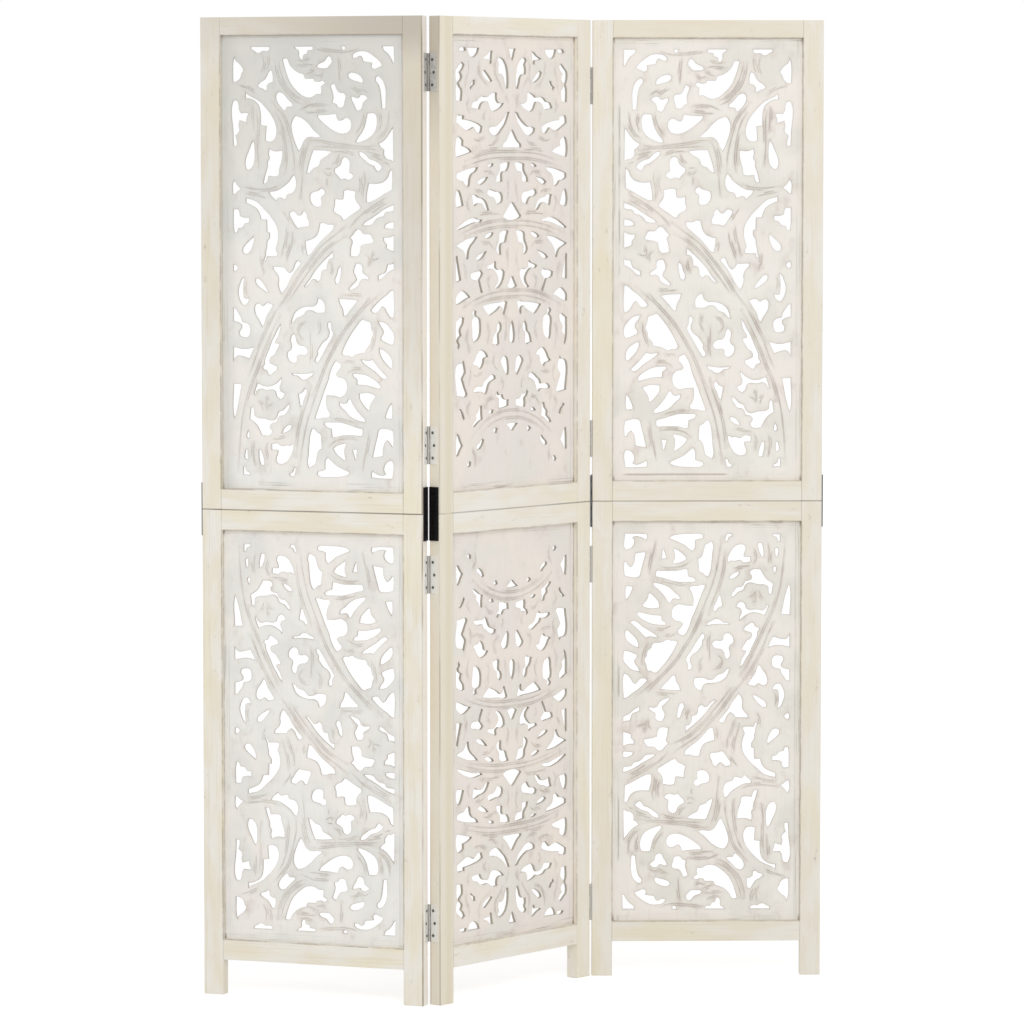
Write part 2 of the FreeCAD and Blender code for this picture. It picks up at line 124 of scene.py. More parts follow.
# a material built up in coats: base is the colour so far, fades and noises are kept by name
class Look:
    def __init__(self, name, fades=None):
        self.material = bpy.data.materials.new(name)
        self.material.use_nodes = True
        self.tree = self.material.node_tree
        self.shader = self.tree.nodes["Principled BSDF"]
        self.base = None
        self.fades = fades
        self.noises = {}

    def node(self, kind, settings, sockets, output=None):
        made = self.tree.nodes.new(kind)
        for key in settings:
            setattr(made, key, settings[key])
        for key in sockets:
            plug(self.tree, findSocket(made.inputs, key), sockets[key])
        if output is None:
            return Flow(self.tree, made.outputs[0])
        return Flow(self.tree, findSocket(made.outputs, output))

    def set(self, **inputs):
        for key in inputs:
            plug(self.tree, findSocket(self.shader.inputs, key.replace("_", " ")), inputs[key])

    def noise(self, vector, scale, detail=3.0, roughness=0.5):
        return self.node("ShaderNodeTexNoise", {},
                         {"Vector": vector, "Scale": scale, "Detail": detail, "Roughness": roughness}, "Fac")

    def ramp(self, value, low, high, start=0.0, end=1.0):
        return self.node("ShaderNodeMapRange", {"interpolation_type": "SMOOTHSTEP"},
                         {"Value": value, "From Min": low, "From Max": high, "To Min": start, "To Max": end})

    def mix(self, factor, first, second):
        return self.node("ShaderNodeMix", {"data_type": "RGBA"},
                         {"Factor_Float": factor, "A_Color": first, "B_Color": second}, "Result_Color")

    def fade(self, value, kind):
        return self.ramp(value, *self.fades[kind])

    def patch(self, noise, kind):
        return self.fade(self.noises[noise], kind)

    def coat(self, amount, tone):
        self.base = self.mix(amount, self.base, tone)

    def join(self, x, y, z):
        return self.node("ShaderNodeCombineXYZ", {}, {"X": x, "Y": y, "Z": z})

    def split(self, vector):
        made = self.tree.nodes.new("ShaderNodeSeparateXYZ")
        plug(self.tree, made.inputs[0], vector)
        return [Flow(self.tree, out) for out in made.outputs]

    def bump(self, height, strength, distance):
        return self.node("ShaderNodeBump", {},
                         {"Strength": strength, "Distance": distance, "Height": height})

    def objectPlace(self):
        return self.node("ShaderNodeTexCoord", {}, {}, "Object")

    def pieceChance(self):
        return self.node("ShaderNodeObjectInfo", {}, {}, "Random")

    def marked(self, name):
        return self.node("ShaderNodeAttribute", {"attribute_name": name}, {}, "Fac")


# screen colour from 0 to 255 as the linear colour that sockets take
def shade(red, green, blue):
    linear = []
    for part in (red, green, blue):
        part = part / 255
        linear.append(part / 12.92 if part <= 0.04045 else ((part + 0.055) / 1.055) ** 2.4)
    return (*linear, 1.0)


# how each panel stands, read from its carved board: along its width, and away from the viewer
def panelAxes(panel):
    spots = np.array([vertex.co[:] for vertex in nodes[panel + "_upper_carving"].data.vertices])
    flat = spots[:, :2] - spots[:, :2].mean(0)
    along = np.linalg.svd(flat, full_matrices=False)[2][0]
    along = along * np.sign(along[0])
    away = np.array((-along[1], along[0]))
    return along, away


axes = {panel: panelAxes(panel) for panel in panels}
print("panels at", [round(math.degrees(math.atan2(axes[p][0][1], axes[p][0][0])), 1) for p in panels])


# lowest and highest corner of a node, measured along its panel, away from the viewer and upwards
def reach(node, panel):
    along, away = axes[panel]
    spots = np.array([vertex.co[:] for vertex in nodes[node].data.vertices])
    flat = np.column_stack((spots[:, :2] @ along, spots[:, :2] @ away, spots[:, 2]))
    return flat.min(0), flat.max(0)


# places measured as reach does, in the room
def inRoom(panel, across, deep, up):
    along, away = axes[panel]
    return np.column_stack((across[:, None] * along + deep[:, None] * away, up))


# new meshes: lengths in metres, and the angle of a crisp edge in degrees
meshLook = {"merge": 2e-6, "thin": 1e-6, "tiny": 1e-9, "crisp": 28}


# merges points where a distance is given, and turns the faces outwards
def turnOut(mesh, merge=0.0):
    work = bmesh.new()
    work.from_mesh(mesh)
    if merge > 0:
        bmesh.ops.remove_doubles(work, verts=work.verts, dist=merge)
    bmesh.ops.recalc_face_normals(work, faces=work.faces)
    work.to_mesh(mesh)
    work.free()


def smoothMesh(mesh):
    turnOut(mesh, meshLook["merge"])
    mesh.shade_smooth()
    mesh.set_sharp_from_angle(angle=math.radians(meshLook["crisp"]))


def addPiece(name, mesh, panel, node=None):
    piece = bpy.data.objects.new(name, mesh)
    bpy.context.scene.collection.objects.link(piece)
    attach(piece, panel + "_panel")
    if node is not None:
        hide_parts(node)


# the outlines below are written in shares of a board's pierced field, this wide and this tall
fieldShares = np.array((100, 250))

# cut-outs of a side board: shares of its pierced field, across from the fold and along from the end
sideHoles = [
    [(0, 0.7), (7, 0.7), (6.4, 2.6), (3.6, 5), (1.4, 8.5), (0.6, 10.2), (-0.3, 10.2)],
    [(7.2, 11.7), (8.2, 9.8), (12, 6.5), (16, 4), (20, 3.4), (24, 4.3), (25.5, 5.8), (25.2, 7.2),
     (23.2, 7.2), (21.2, 6), (19.8, 6.6), (18.8, 9), (16, 9.6), (13.5, 10), (14, 12.5), (12.3, 13.8),
     (9.8, 12.8)],
    [(30, 0.6), (32.5, 0.6), (31.8, 2.5), (30, 2.5)],
    [(38.2, 8.4), (39.2, 6.4), (40.6, 6.3), (43, 9), (47, 11), (47.6, 12), (46.5, 12.8), (44, 13),
     (41, 12.8), (39.5, 11.2), (38.3, 9.8)],
    [(50, 0.6), (61.3, 0.6), (60.5, 1.8), (59, 2.6), (58.5, 6.5), (57.5, 7.8), (56.3, 7.8), (55.6, 5.2),
     (53.7, 4.6), (53.2, 2.8), (50, 2.4)],
    [(68.8, 7.8), (68.3, 10), (66.5, 16), (64, 21.5), (60, 26), (55.5, 29.2), (51, 29.6), (47, 27.6),
     (45, 28), (44.6, 25.8), (45, 23.5), (42.3, 21.5), (44, 20), (46.5, 20.8), (49, 20.4), (49.5, 19),
     (54.7, 19), (56, 16.4), (58, 15.8), (59.8, 15), (62.5, 13), (64.5, 10.5), (65.8, 7.7), (67.3, 7.3)],
    [(77, 0.6), (88.5, 0.6), (88.3, 1.8), (86.5, 2.8), (84.5, 4.1), (82.7, 3.8), (81.3, 2.8), (79, 3),
     (77, 2.4)],
    [(98.8, 6), (99.6, 9), (99.8, 20.5), (98, 20.5), (95.2, 18.4), (94.5, 16), (93.2, 14), (94, 12.3),
     (96, 10), (98, 8.5)],
    [(75.8, 14), (77, 14.4), (78.7, 17.3), (80, 19.3), (82.5, 20.8), (84.6, 22.7), (83.5, 23.8),
     (81.5, 24.4), (79.8, 25.8), (78.6, 25), (78.5, 23), (77, 21.3), (74.9, 20.8), (74.8, 18),
     (75.2, 15.5)],
    [(69.5, 27), (71.2, 26.5), (72.6, 27.8), (73, 30), (71.8, 33), (69.3, 36), (67.7, 37.4),
     (66.8, 36.5), (66.3, 35), (62.8, 34.8), (62.6, 33.8), (65, 31.3), (67, 29), (68.5, 27.4)],
    [(91.8, 26.7), (90.5, 28), (86, 30.3), (83, 32), (79.5, 35.5), (76.5, 39), (74, 43), (72.8, 47),
     (72.6, 50), (73.5, 53), (75, 54.6), (77.5, 55), (79.6, 54.4), (79.4, 50), (79, 46), (82.5, 45.5),
     (82.8, 38), (84, 34), (86.5, 31.5), (90, 30), (92, 30)],
    [(99, 31.2), (99.8, 32), (99.8, 50), (99.5, 57.5), (97.5, 57.5), (97.4, 55), (98.3, 51.5),
     (97, 50.5), (95.8, 48.5), (96.3, 46), (95.7, 42.7), (93.5, 43.4), (91.5, 44), (91.3, 41.5),
     (90.2, 39), (91.5, 38.5), (94.8, 38.8), (96, 36.5), (96.3, 33.5), (97, 31.8)],
    [(9.8, 17.5), (11, 18.3), (11.3, 20), (9.6, 22.3), (8.5, 25.5), (8, 29), (7.6, 33), (7.4, 36),
     (5.2, 36.3), (5, 31), (5, 26), (5.8, 22.3), (7.3, 19.5)],
    [(19, 21), (19.4, 19), (21.5, 16.9), (24.5, 15.8), (26.5, 15.6), (28.3, 16.6), (27.8, 18.4),
     (25.5, 19.8), (22, 20.8), (20, 21.4)],
    [(16, 30.2), (18, 28.6), (20.8, 28.5), (21.6, 29.8), (22.8, 30.3), (24, 29.8), (25.4, 29.3),
     (26.4, 29.3), (26.2, 31), (24.5, 34), (23.4, 36.6), (22.3, 37.5), (20, 36.4), (19, 33),
     (17.3, 31.3)],
    [(37, 21.5), (39.2, 23), (38, 26.5), (37.4, 29.5), (38, 32.5), (35.5, 33.8), (34.8, 35), (33, 35.6),
     (31, 35), (30, 31), (29.6, 29.5), (30.5, 27.5), (33.5, 27), (35, 25.5), (36, 23.3)],
    [(36, 39), (40, 39.6), (47.4, 40), (46.5, 41.8), (43, 45), (38, 48.5), (33.5, 50.3), (30, 50.3),
     (27.5, 49), (26.3, 46.5), (26.3, 44), (28, 41.8), (30.3, 41.6), (32, 42.8), (34, 43.1), (35, 41.8),
     (35.5, 40)],
    [(12, 39), (16.4, 39), (17, 42), (18, 46), (20, 50), (22.5, 53.3), (23.5, 55), (22.5, 55.6),
     (19, 54.7), (15.5, 53), (12.5, 50.5), (11, 47.5), (10.4, 43.5), (11, 40)],
    [(0.6, 47), (2, 49), (4.5, 52.5), (7, 55), (9.5, 56.3), (8, 58.5), (6.4, 59.5), (6.3, 62.5),
     (4.5, 65), (2.3, 65.4), (1, 66.3), (0.3, 66)],
    [(60.8, 40.2), (62, 41.5), (63.5, 45), (63.3, 48.5), (62.2, 53), (60.5, 57.5), (59, 60.5),
     (57.5, 58.5), (55.5, 54.5), (53, 52.5), (47, 52.6), (45.3, 52), (46.5, 51), (49.5, 48.5),
     (52.5, 45), (56.5, 41.8)],
    [(7.3, 69.8), (9, 67.8), (12, 66), (15, 65), (17.5, 62.5), (20.3, 61), (21.7, 61.2), (21.3, 62.8),
     (18.5, 65.5), (15, 68), (12.5, 69), (11.3, 71), (10.3, 72.2), (8.5, 71.2)],
    [(27.3, 66.5), (28.5, 64.8), (30.3, 64), (32, 65), (33, 68), (35, 69.8), (36.8, 70.8), (36.5, 73),
     (34.5, 75), (33, 77), (31, 76.2), (28, 77), (26.3, 76.3), (25, 75), (25.5, 74), (27.5, 72.8),
     (27.3, 70)],
    [(38.5, 60.8), (43, 60.2), (50, 60), (51.5, 64), (53, 69), (54, 73.3), (52.5, 73), (49.5, 70.3),
     (46.5, 69), (45, 65.5), (41, 63)],
    [(69, 60.3), (74, 60.6), (77.3, 59.3), (77.7, 62), (77.2, 65), (78.3, 66.5), (78.3, 69), (79.8, 74),
     (81, 79), (79.5, 79.2), (78.3, 77.5), (77.8, 74.7), (73, 75), (71.5, 74.3), (71, 71), (69.8, 67),
     (69, 63)],
    [(87.2, 54.5), (88.3, 56), (90, 60), (92, 65), (92.3, 68.5), (91.5, 71), (90, 71.3), (87.8, 69.5),
     (86.5, 66), (86.3, 60), (86.6, 56.5)],
    [(1, 71), (2.5, 72), (4, 75.5), (7, 78.3), (11, 79.2), (15.6, 79), (16.3, 82), (17, 86), (17, 89.5),
     (15.5, 89.8), (11.5, 88.2), (6, 85), (1.3, 82.5), (1, 77)],
    [(23.8, 83.6), (29, 82.8), (31, 83.4), (31.5, 88), (32.5, 88.3), (36.6, 87.8), (36.8, 92),
     (37.5, 94.5), (36.5, 95.8), (33, 97.8), (31.5, 100), (30, 99.6), (27, 97.5), (23.5, 95.2),
     (21, 93.2), (21, 92.2), (23, 89.5), (24, 87)],
    [(43.5, 82.5), (45, 82), (47, 83.3), (49.8, 84), (51.3, 84.7), (52, 86.5), (51.3, 90), (49.5, 92),
     (47, 92.5), (45, 92), (44.6, 89.5), (45, 87), (42.8, 85), (42.7, 83.8)],
    [(61.5, 74.3), (62.8, 75), (65, 78), (69, 81.2), (73, 83.4), (77.2, 84), (76.8, 85.5), (74.5, 87.8),
     (73, 89.2), (72, 87.5), (70.5, 87.2), (68.5, 88), (67, 88), (66, 85.6), (62.5, 84.3), (60.8, 81.5),
     (60.5, 78)],
    [(99, 77.5), (100, 79), (100, 85.5), (98.8, 85.3), (96.8, 83.5), (95, 82.3), (97, 80.5)],
    [(0.2, 91.2), (3, 92.2), (7, 94.2), (11, 97), (15, 99.5), (19, 102.3), (19.2, 103), (17, 103),
     (13.5, 102.3), (11.5, 99.8), (9, 98.2), (6.5, 97.6), (5.3, 95.5), (2.5, 95), (0.2, 94.5)],
    [(0.2, 101), (2.5, 101.3), (5.5, 102.8), (6, 104.3), (3.5, 104.8), (0.2, 104.8)],
    [(56.2, 95), (57.5, 97), (58.8, 97.6), (60.2, 96.8), (61.8, 95.2), (64.7, 95.8), (64.8, 97),
     (63.5, 99.5), (61, 103.5), (59.5, 105), (57.5, 104.3), (52.7, 103.7), (52.5, 101.5), (53.5, 99),
     (54.8, 95.5)],
    [(91.8, 87.7), (91.8, 90.3), (88, 92), (85, 94), (83.3, 97), (82.5, 99.8), (79, 100), (78.8, 104),
     (78.8, 107), (77.2, 107.5), (77.3, 110.5), (78.8, 113), (79, 116), (79.6, 118.3), (79.8, 120.5),
     (80.8, 123.5), (79.7, 123.8), (78.8, 121), (75, 121.2), (72.3, 120.8), (72.5, 119), (73.3, 117),
     (72.3, 113.5), (71.7, 109.5), (72.2, 105), (74, 101.5), (77, 97.5), (80.5, 94), (83.5, 91),
     (86, 89.3)],
    [(97, 94), (99.8, 94.3), (99.8, 104), (99.3, 107.5), (97.5, 107.5), (96.8, 105), (94, 104.3),
     (92.5, 102.3), (90, 101.8), (89.8, 99), (93.5, 98.8), (95.5, 98), (96, 95.5)],
    [(0.2, 108.5), (3, 109.8), (6.5, 110), (6.3, 112), (4.8, 113.8), (4.8, 116), (3, 117), (0.2, 117.8)],
    [(22.3, 105.3), (24, 106.5), (26, 109), (27.3, 110), (25.8, 112), (26.7, 116), (27, 120.5),
     (25, 120.8), (22.8, 120.8), (21, 118.5), (20.5, 114.8), (18, 113.8), (13.5, 113), (12.5, 112.3),
     (13.5, 110), (14.8, 108.3), (19, 107.8), (20.5, 106)],
    [(45.8, 102), (46.2, 104), (47, 107), (49, 110), (52, 111.5), (55, 112.3), (54.6, 116.5),
     (53.8, 120.5), (52.5, 120.3), (49, 116.5), (45.5, 112.5), (41, 108.5), (37.5, 105), (37.2, 102.6),
     (41, 102.6), (43.5, 101.7)],
    [(37.9, 118.3), (40, 120.3), (43, 123), (46.5, 126.5), (49.5, 130), (52.5, 134.5), (55.5, 138.3),
     (55, 138.8), (52.5, 136.8), (50.5, 134.2), (48.8, 134.3), (47.3, 135.7), (45.5, 134), (45, 130.8),
     (44, 129), (41.7, 128.5), (41, 124.5), (39.8, 122.5), (37.6, 121.8)],
    [(0.2, 124.3), (1, 125), (4, 125.4), (4.6, 127.5), (5.5, 129.8), (8.5, 131.2), (9.8, 132),
     (9.8, 134.3), (7.5, 133.3), (4, 130), (0.2, 128)],
    [(21, 125.2), (23.5, 125), (24.5, 127), (25, 130), (23.7, 132.5), (23.3, 134.5), (25.5, 136.8),
     (28, 139.5), (27.3, 140.3), (24, 139), (21.8, 137.2), (20.8, 134.8), (19, 133.8), (16, 134.2),
     (15.6, 133), (17.5, 131.5), (19.5, 130), (19.5, 127)],
    [(33.2, 126.5), (34.5, 128), (35.5, 131.5), (36.7, 134.5), (36, 136.8), (34.5, 136.5), (33.3, 133.5),
     (32.7, 129.5), (32.7, 127.5)],
    [(60.2, 123.7), (61.3, 125.5), (62.8, 129), (64.8, 130.8), (66.8, 129.2), (67.5, 127.8), (70, 127.3),
     (75.2, 127.2), (74.8, 128.8), (72.5, 131.5), (71.5, 134.5), (71.8, 137), (70.8, 141), (69.5, 142.7),
     (68.3, 141), (66, 137.8), (64, 133.8), (61.5, 130), (58.5, 126.3), (57.7, 125.3), (58.6, 124.2)],
    [(87.2, 109.7), (88.8, 111.3), (92, 114.2), (94, 117), (93.8, 119), (92, 119.9), (90, 119),
     (87.7, 115), (86.9, 111.8)],
    [(97, 128), (98, 126.5), (99.6, 126), (100, 128), (99.5, 130), (98, 129.6)],
    [(78, 141.8), (79.5, 139.2), (82, 136), (84.5, 134), (86, 134.3), (86, 136.3), (84.3, 138.5),
     (81.5, 140.5), (79.3, 141.8)],
    [(93, 133.3), (94.3, 134), (96, 137.5), (97, 142), (96, 146.5), (94.2, 149.3), (92.3, 149.3),
     (90.5, 147.3), (90.2, 145.2), (91.8, 145.8), (93.4, 145.3), (93.8, 140), (93.5, 136)],
    [(0.4, 140.2), (2, 140.5), (5, 143), (9, 146), (12, 149), (14.3, 151.5), (13.5, 152.8), (10.5, 153),
     (8.8, 151), (7.5, 149.3), (6, 150.3), (4.5, 153), (2.5, 155.5), (0.8, 156.3), (0.3, 155)],
    [(22.5, 146.3), (25, 145.8), (30, 145.5), (34.3, 145.2), (33.8, 147.5), (32, 151), (31.2, 155),
     (30, 155), (27.5, 152), (25, 149.3)],
    [(47, 145), (48, 148.2), (50, 149.8), (54, 150), (58, 151), (61.5, 153.5), (63, 156.5),
     (63.8, 159.5), (62.8, 159.3), (60.5, 156.8), (56.5, 155), (54, 152.3), (51, 152.2), (48.5, 153.4),
     (43, 153.3), (42.7, 150), (43.5, 147.5), (45.3, 145.7)],
    [(75, 149.3), (77.5, 148.3), (79.3, 148.2), (80.5, 149.3), (81.7, 150), (83, 149), (85, 148.3),
     (86.5, 149.8), (86.7, 152), (86, 155), (83.5, 159), (82, 162), (80.8, 160.5), (79.5, 156.5),
     (77, 152.5)],
    [(9.8, 158), (9, 160), (7, 163), (6.8, 165), (8, 167), (8.3, 168.5), (6, 169.8), (3, 171),
     (1, 171.5), (0.4, 170), (0.4, 165), (2, 162.5), (5, 159.3), (7.5, 158.3)],
    [(15, 158.5), (17, 158), (19.5, 156.9), (21, 158), (23, 160.5), (25, 163), (28, 167.5), (30.5, 172),
     (32.5, 176.5), (31.5, 177.8), (28.5, 178), (26.5, 178.8), (24.5, 177.5), (21.5, 176.6), (18, 176),
     (17, 173.5), (14.8, 171), (14.3, 168), (13, 165.3), (14, 162.5), (14.4, 160)],
    [(39.5, 158.5), (41, 159.3), (41.2, 161.5), (40.2, 164), (40.4, 166.5), (42, 169), (44.3, 170.7),
     (46.3, 173.5), (47.5, 175.5), (47.3, 177.5), (48.8, 180), (49, 181.8), (47.5, 182.5), (45.5, 179.5),
     (43.2, 175.5), (41, 171.5), (38.8, 168), (37.8, 165.5), (38.8, 163), (39, 160)],
    [(9, 173.5), (9, 176), (7.5, 179.5), (5, 182.5), (2.5, 185), (1.5, 184.5), (1.3, 181), (3, 177.5),
     (6, 175)],
    [(13.8, 180), (15, 180.7), (20.5, 180.2), (20, 181.2), (16.5, 184), (12, 187), (7.5, 190.8),
     (6, 191.2), (4.3, 190), (6.5, 188), (9.5, 185), (11.5, 182.5)],
    [(25.5, 188.3), (25.5, 189.7), (23.2, 191.5), (23, 194.5), (17, 195), (12, 196.2), (9.5, 197),
     (8.3, 195.5), (10, 193.5), (13.5, 191), (18, 189), (22, 188.5)],
    [(36.3, 181.2), (38, 183.5), (40, 188.5), (41, 192.5), (42.5, 196), (44, 200), (46, 205.5),
     (48, 211), (49.3, 214.3), (48, 214.8), (44.5, 214), (40.5, 213.5), (39.8, 212.3), (41.5, 209),
     (42.3, 205), (42, 201), (37, 201.2), (33.5, 202), (31.5, 201), (30, 199.5), (29.2, 195),
     (29.8, 193), (32, 191), (35, 190.3), (36, 189), (35, 187), (33, 184.5), (33.2, 183), (35, 181.7)],
    [(62.3, 165.8), (63.8, 167), (64.2, 170), (63.5, 173), (64.5, 175.3), (66, 176.3), (66.3, 178.5),
     (65, 181.5), (62.5, 182.8), (60.5, 181.5), (60.2, 178.5), (58.8, 177.8), (55.5, 178), (53.5, 176.3),
     (54, 174.5), (56, 172.8), (59, 172.3), (60.6, 170.5), (61.2, 167.5)],
    [(50.2, 188), (53, 188.6), (57, 189), (63.5, 188.7), (63, 189.5), (60, 190), (58, 191.7),
     (55.5, 192.2), (53, 190.8), (50.8, 189.5)],
    [(70.3, 160.3), (72, 162.5), (74, 166.5), (76, 170), (77.5, 174), (79.3, 178), (80.5, 181),
     (80.8, 184), (81.8, 185.3), (81.3, 186.5), (79.5, 187), (78.5, 189), (77.3, 190), (75.3, 188.5),
     (73, 186.5), (72.7, 184.8), (75, 184), (77.3, 183), (77.5, 181), (76.2, 179), (74.5, 178),
     (73, 175.5), (71.5, 172.7), (71.5, 171.7), (74, 171.3), (73.5, 169.3), (72, 167), (70.8, 163.5)],
    [(100, 151.5), (100, 158.8), (97, 159.5), (94.8, 161), (95, 163), (96.3, 165), (95.8, 167.5),
     (92.5, 168.2), (90.5, 167.5), (89.5, 165), (89.8, 161.5), (91.5, 160), (94.5, 159.3), (95.3, 156.5),
     (97, 154), (98.8, 151.5)],
    [(87.3, 173.5), (89.5, 174.5), (94, 175), (100, 173.8), (100, 182), (99.2, 180.5), (98, 179),
     (94, 179.2), (90.2, 180.5), (89, 178), (87.8, 175.5)],
    [(70, 191.3), (71.5, 193), (74.5, 195.3), (78, 196.5), (82, 196), (85, 194.7), (86, 197),
     (87.2, 201), (86.5, 201.5), (85.5, 199), (83.5, 197.8), (80, 198.5), (76, 198.2), (74, 199),
     (73, 202), (71, 203.8), (69, 202.5), (68, 200.3), (70.5, 199.2), (71.3, 197), (70.3, 194)],
    [(95, 195.5), (100, 195.2), (100, 213.8), (99.5, 215), (98.5, 212), (97, 206), (96, 200.5)],
    [(54.3, 198.3), (55.5, 197.2), (57, 199.5), (59.5, 200.7), (59, 204), (58.3, 208), (57.2, 207),
     (56, 203.5), (54.6, 200.7)],
    [(11.5, 201), (14, 199.8), (17, 199.3), (21.7, 199.8), (21.3, 203), (19, 206.5), (16.3, 209.3),
     (15.3, 209), (14.8, 206), (12.8, 203)],
    [(27, 203.5), (28.5, 203), (29.5, 205.3), (31, 205.8), (34, 205), (33.8, 206.8), (31, 209.5),
     (27.5, 213), (23, 215.2), (18.2, 216.2), (18.3, 214.8), (21, 212), (24, 208.5), (26, 205.5)],
    [(1.8, 205), (3.5, 207.5), (5, 211), (5.7, 213.5), (3, 214), (1.5, 213.7), (1.3, 209)],
    [(43, 217), (43.5, 217.8), (42, 219.3), (39, 220.3), (38.5, 225), (36.5, 225), (33.5, 224.2),
     (29, 223.8), (20.3, 224.2), (19.5, 222), (20, 220.2), (24, 219.3), (28, 218), (33, 216.8),
     (39, 216.7)],
    [(1, 221), (3, 220.3), (7, 219.7), (9.5, 220.5), (10.5, 224), (11.8, 229), (13.5, 236.3),
     (10.5, 236), (7.3, 235.3), (7, 231.5), (6.3, 228.5), (4.7, 226.3), (3.3, 227.3), (1.5, 230),
     (0.7, 229.7), (0.5, 225)],
    [(1, 239), (2.2, 238), (4.5, 239), (6.3, 241.5), (6.5, 244), (5.3, 246), (7, 246.8), (12.5, 245.3),
     (13.5, 244.3), (14.3, 246), (14, 248), (9, 248.4), (1.2, 248.4)],
    [(30.5, 228.8), (33, 229.3), (36, 230.3), (38, 231.7), (36.3, 234.5), (33.3, 237), (31, 238.7),
     (30.5, 238), (31, 234.5), (30.8, 231.5), (29.8, 229.5)],
    [(23, 232), (26, 232.3), (25.3, 234.5), (24.3, 238), (23.6, 237.5), (23.5, 235)],
    [(49.5, 220.7), (51, 220.5), (52.3, 224), (53, 230), (53.5, 236), (54, 240.5), (53, 243.3),
     (51, 242), (49.3, 241), (48.5, 238), (47.6, 234.5), (46.5, 232.5), (45, 231.8), (45.3, 228),
     (46, 223.5), (48, 222.5)],
    [(41.5, 237), (42.7, 238.5), (43, 244), (45, 244.8), (47.5, 245.3), (48, 247), (46.5, 248),
     (40, 248.2), (33, 247.8), (28.5, 246.3), (28, 245.3), (32, 243.5), (36.5, 241.2), (39, 239)],
    [(65, 206.5), (66.5, 207.3), (69, 210), (72, 211.5), (73, 214), (75, 216), (78, 216), (80, 215.3),
     (85, 214.8), (87, 213.5), (87.3, 210.5), (87.8, 208.5), (89.2, 209), (89.5, 212), (90, 215.5),
     (87, 217.5), (84.8, 220), (83, 223.5), (82.3, 224.8), (78, 224.8), (76.3, 223.5), (76, 222),
     (77.3, 220.8), (77, 218.5), (75.5, 217.5), (73.3, 217.2), (72.5, 215), (71.3, 213.5), (68.3, 212.8),
     (66.3, 210.3), (65.2, 208.3)],
    [(64, 218.5), (66, 218.8), (68.5, 220.8), (69.8, 223.3), (68, 223), (65.3, 221.5), (64, 219.8)],
    [(62.6, 230), (63.5, 229.8), (65, 230.7), (67, 230.3), (69, 231), (71, 230.7), (72.3, 229.5),
     (76.3, 230), (76.2, 233), (72.3, 233.2), (72.5, 235.5), (73.5, 238), (73, 240.5), (71, 241.3),
     (69, 241), (66.5, 239.5), (64.5, 236.5), (63, 233)],
    [(83.2, 233.2), (84.3, 233.3), (84.2, 237.5), (83.2, 242), (81, 242.2), (81, 239.5), (82, 236)],
    [(90.8, 222), (91.5, 223.5), (91.9, 226), (91, 226.8), (90.2, 226), (90.5, 223.5)],
    [(91.5, 233.3), (92.6, 233.3), (93, 238.3), (92.2, 239), (91.2, 238.5)],
    [(61.2, 243.3), (62.3, 243.6), (63.3, 246), (65.2, 247), (64.6, 248), (62.3, 248.2), (61.6, 246)],
    [(93, 243.2), (94, 243.2), (94, 247.8), (90, 248), (90.2, 246.8), (92, 246)],
]

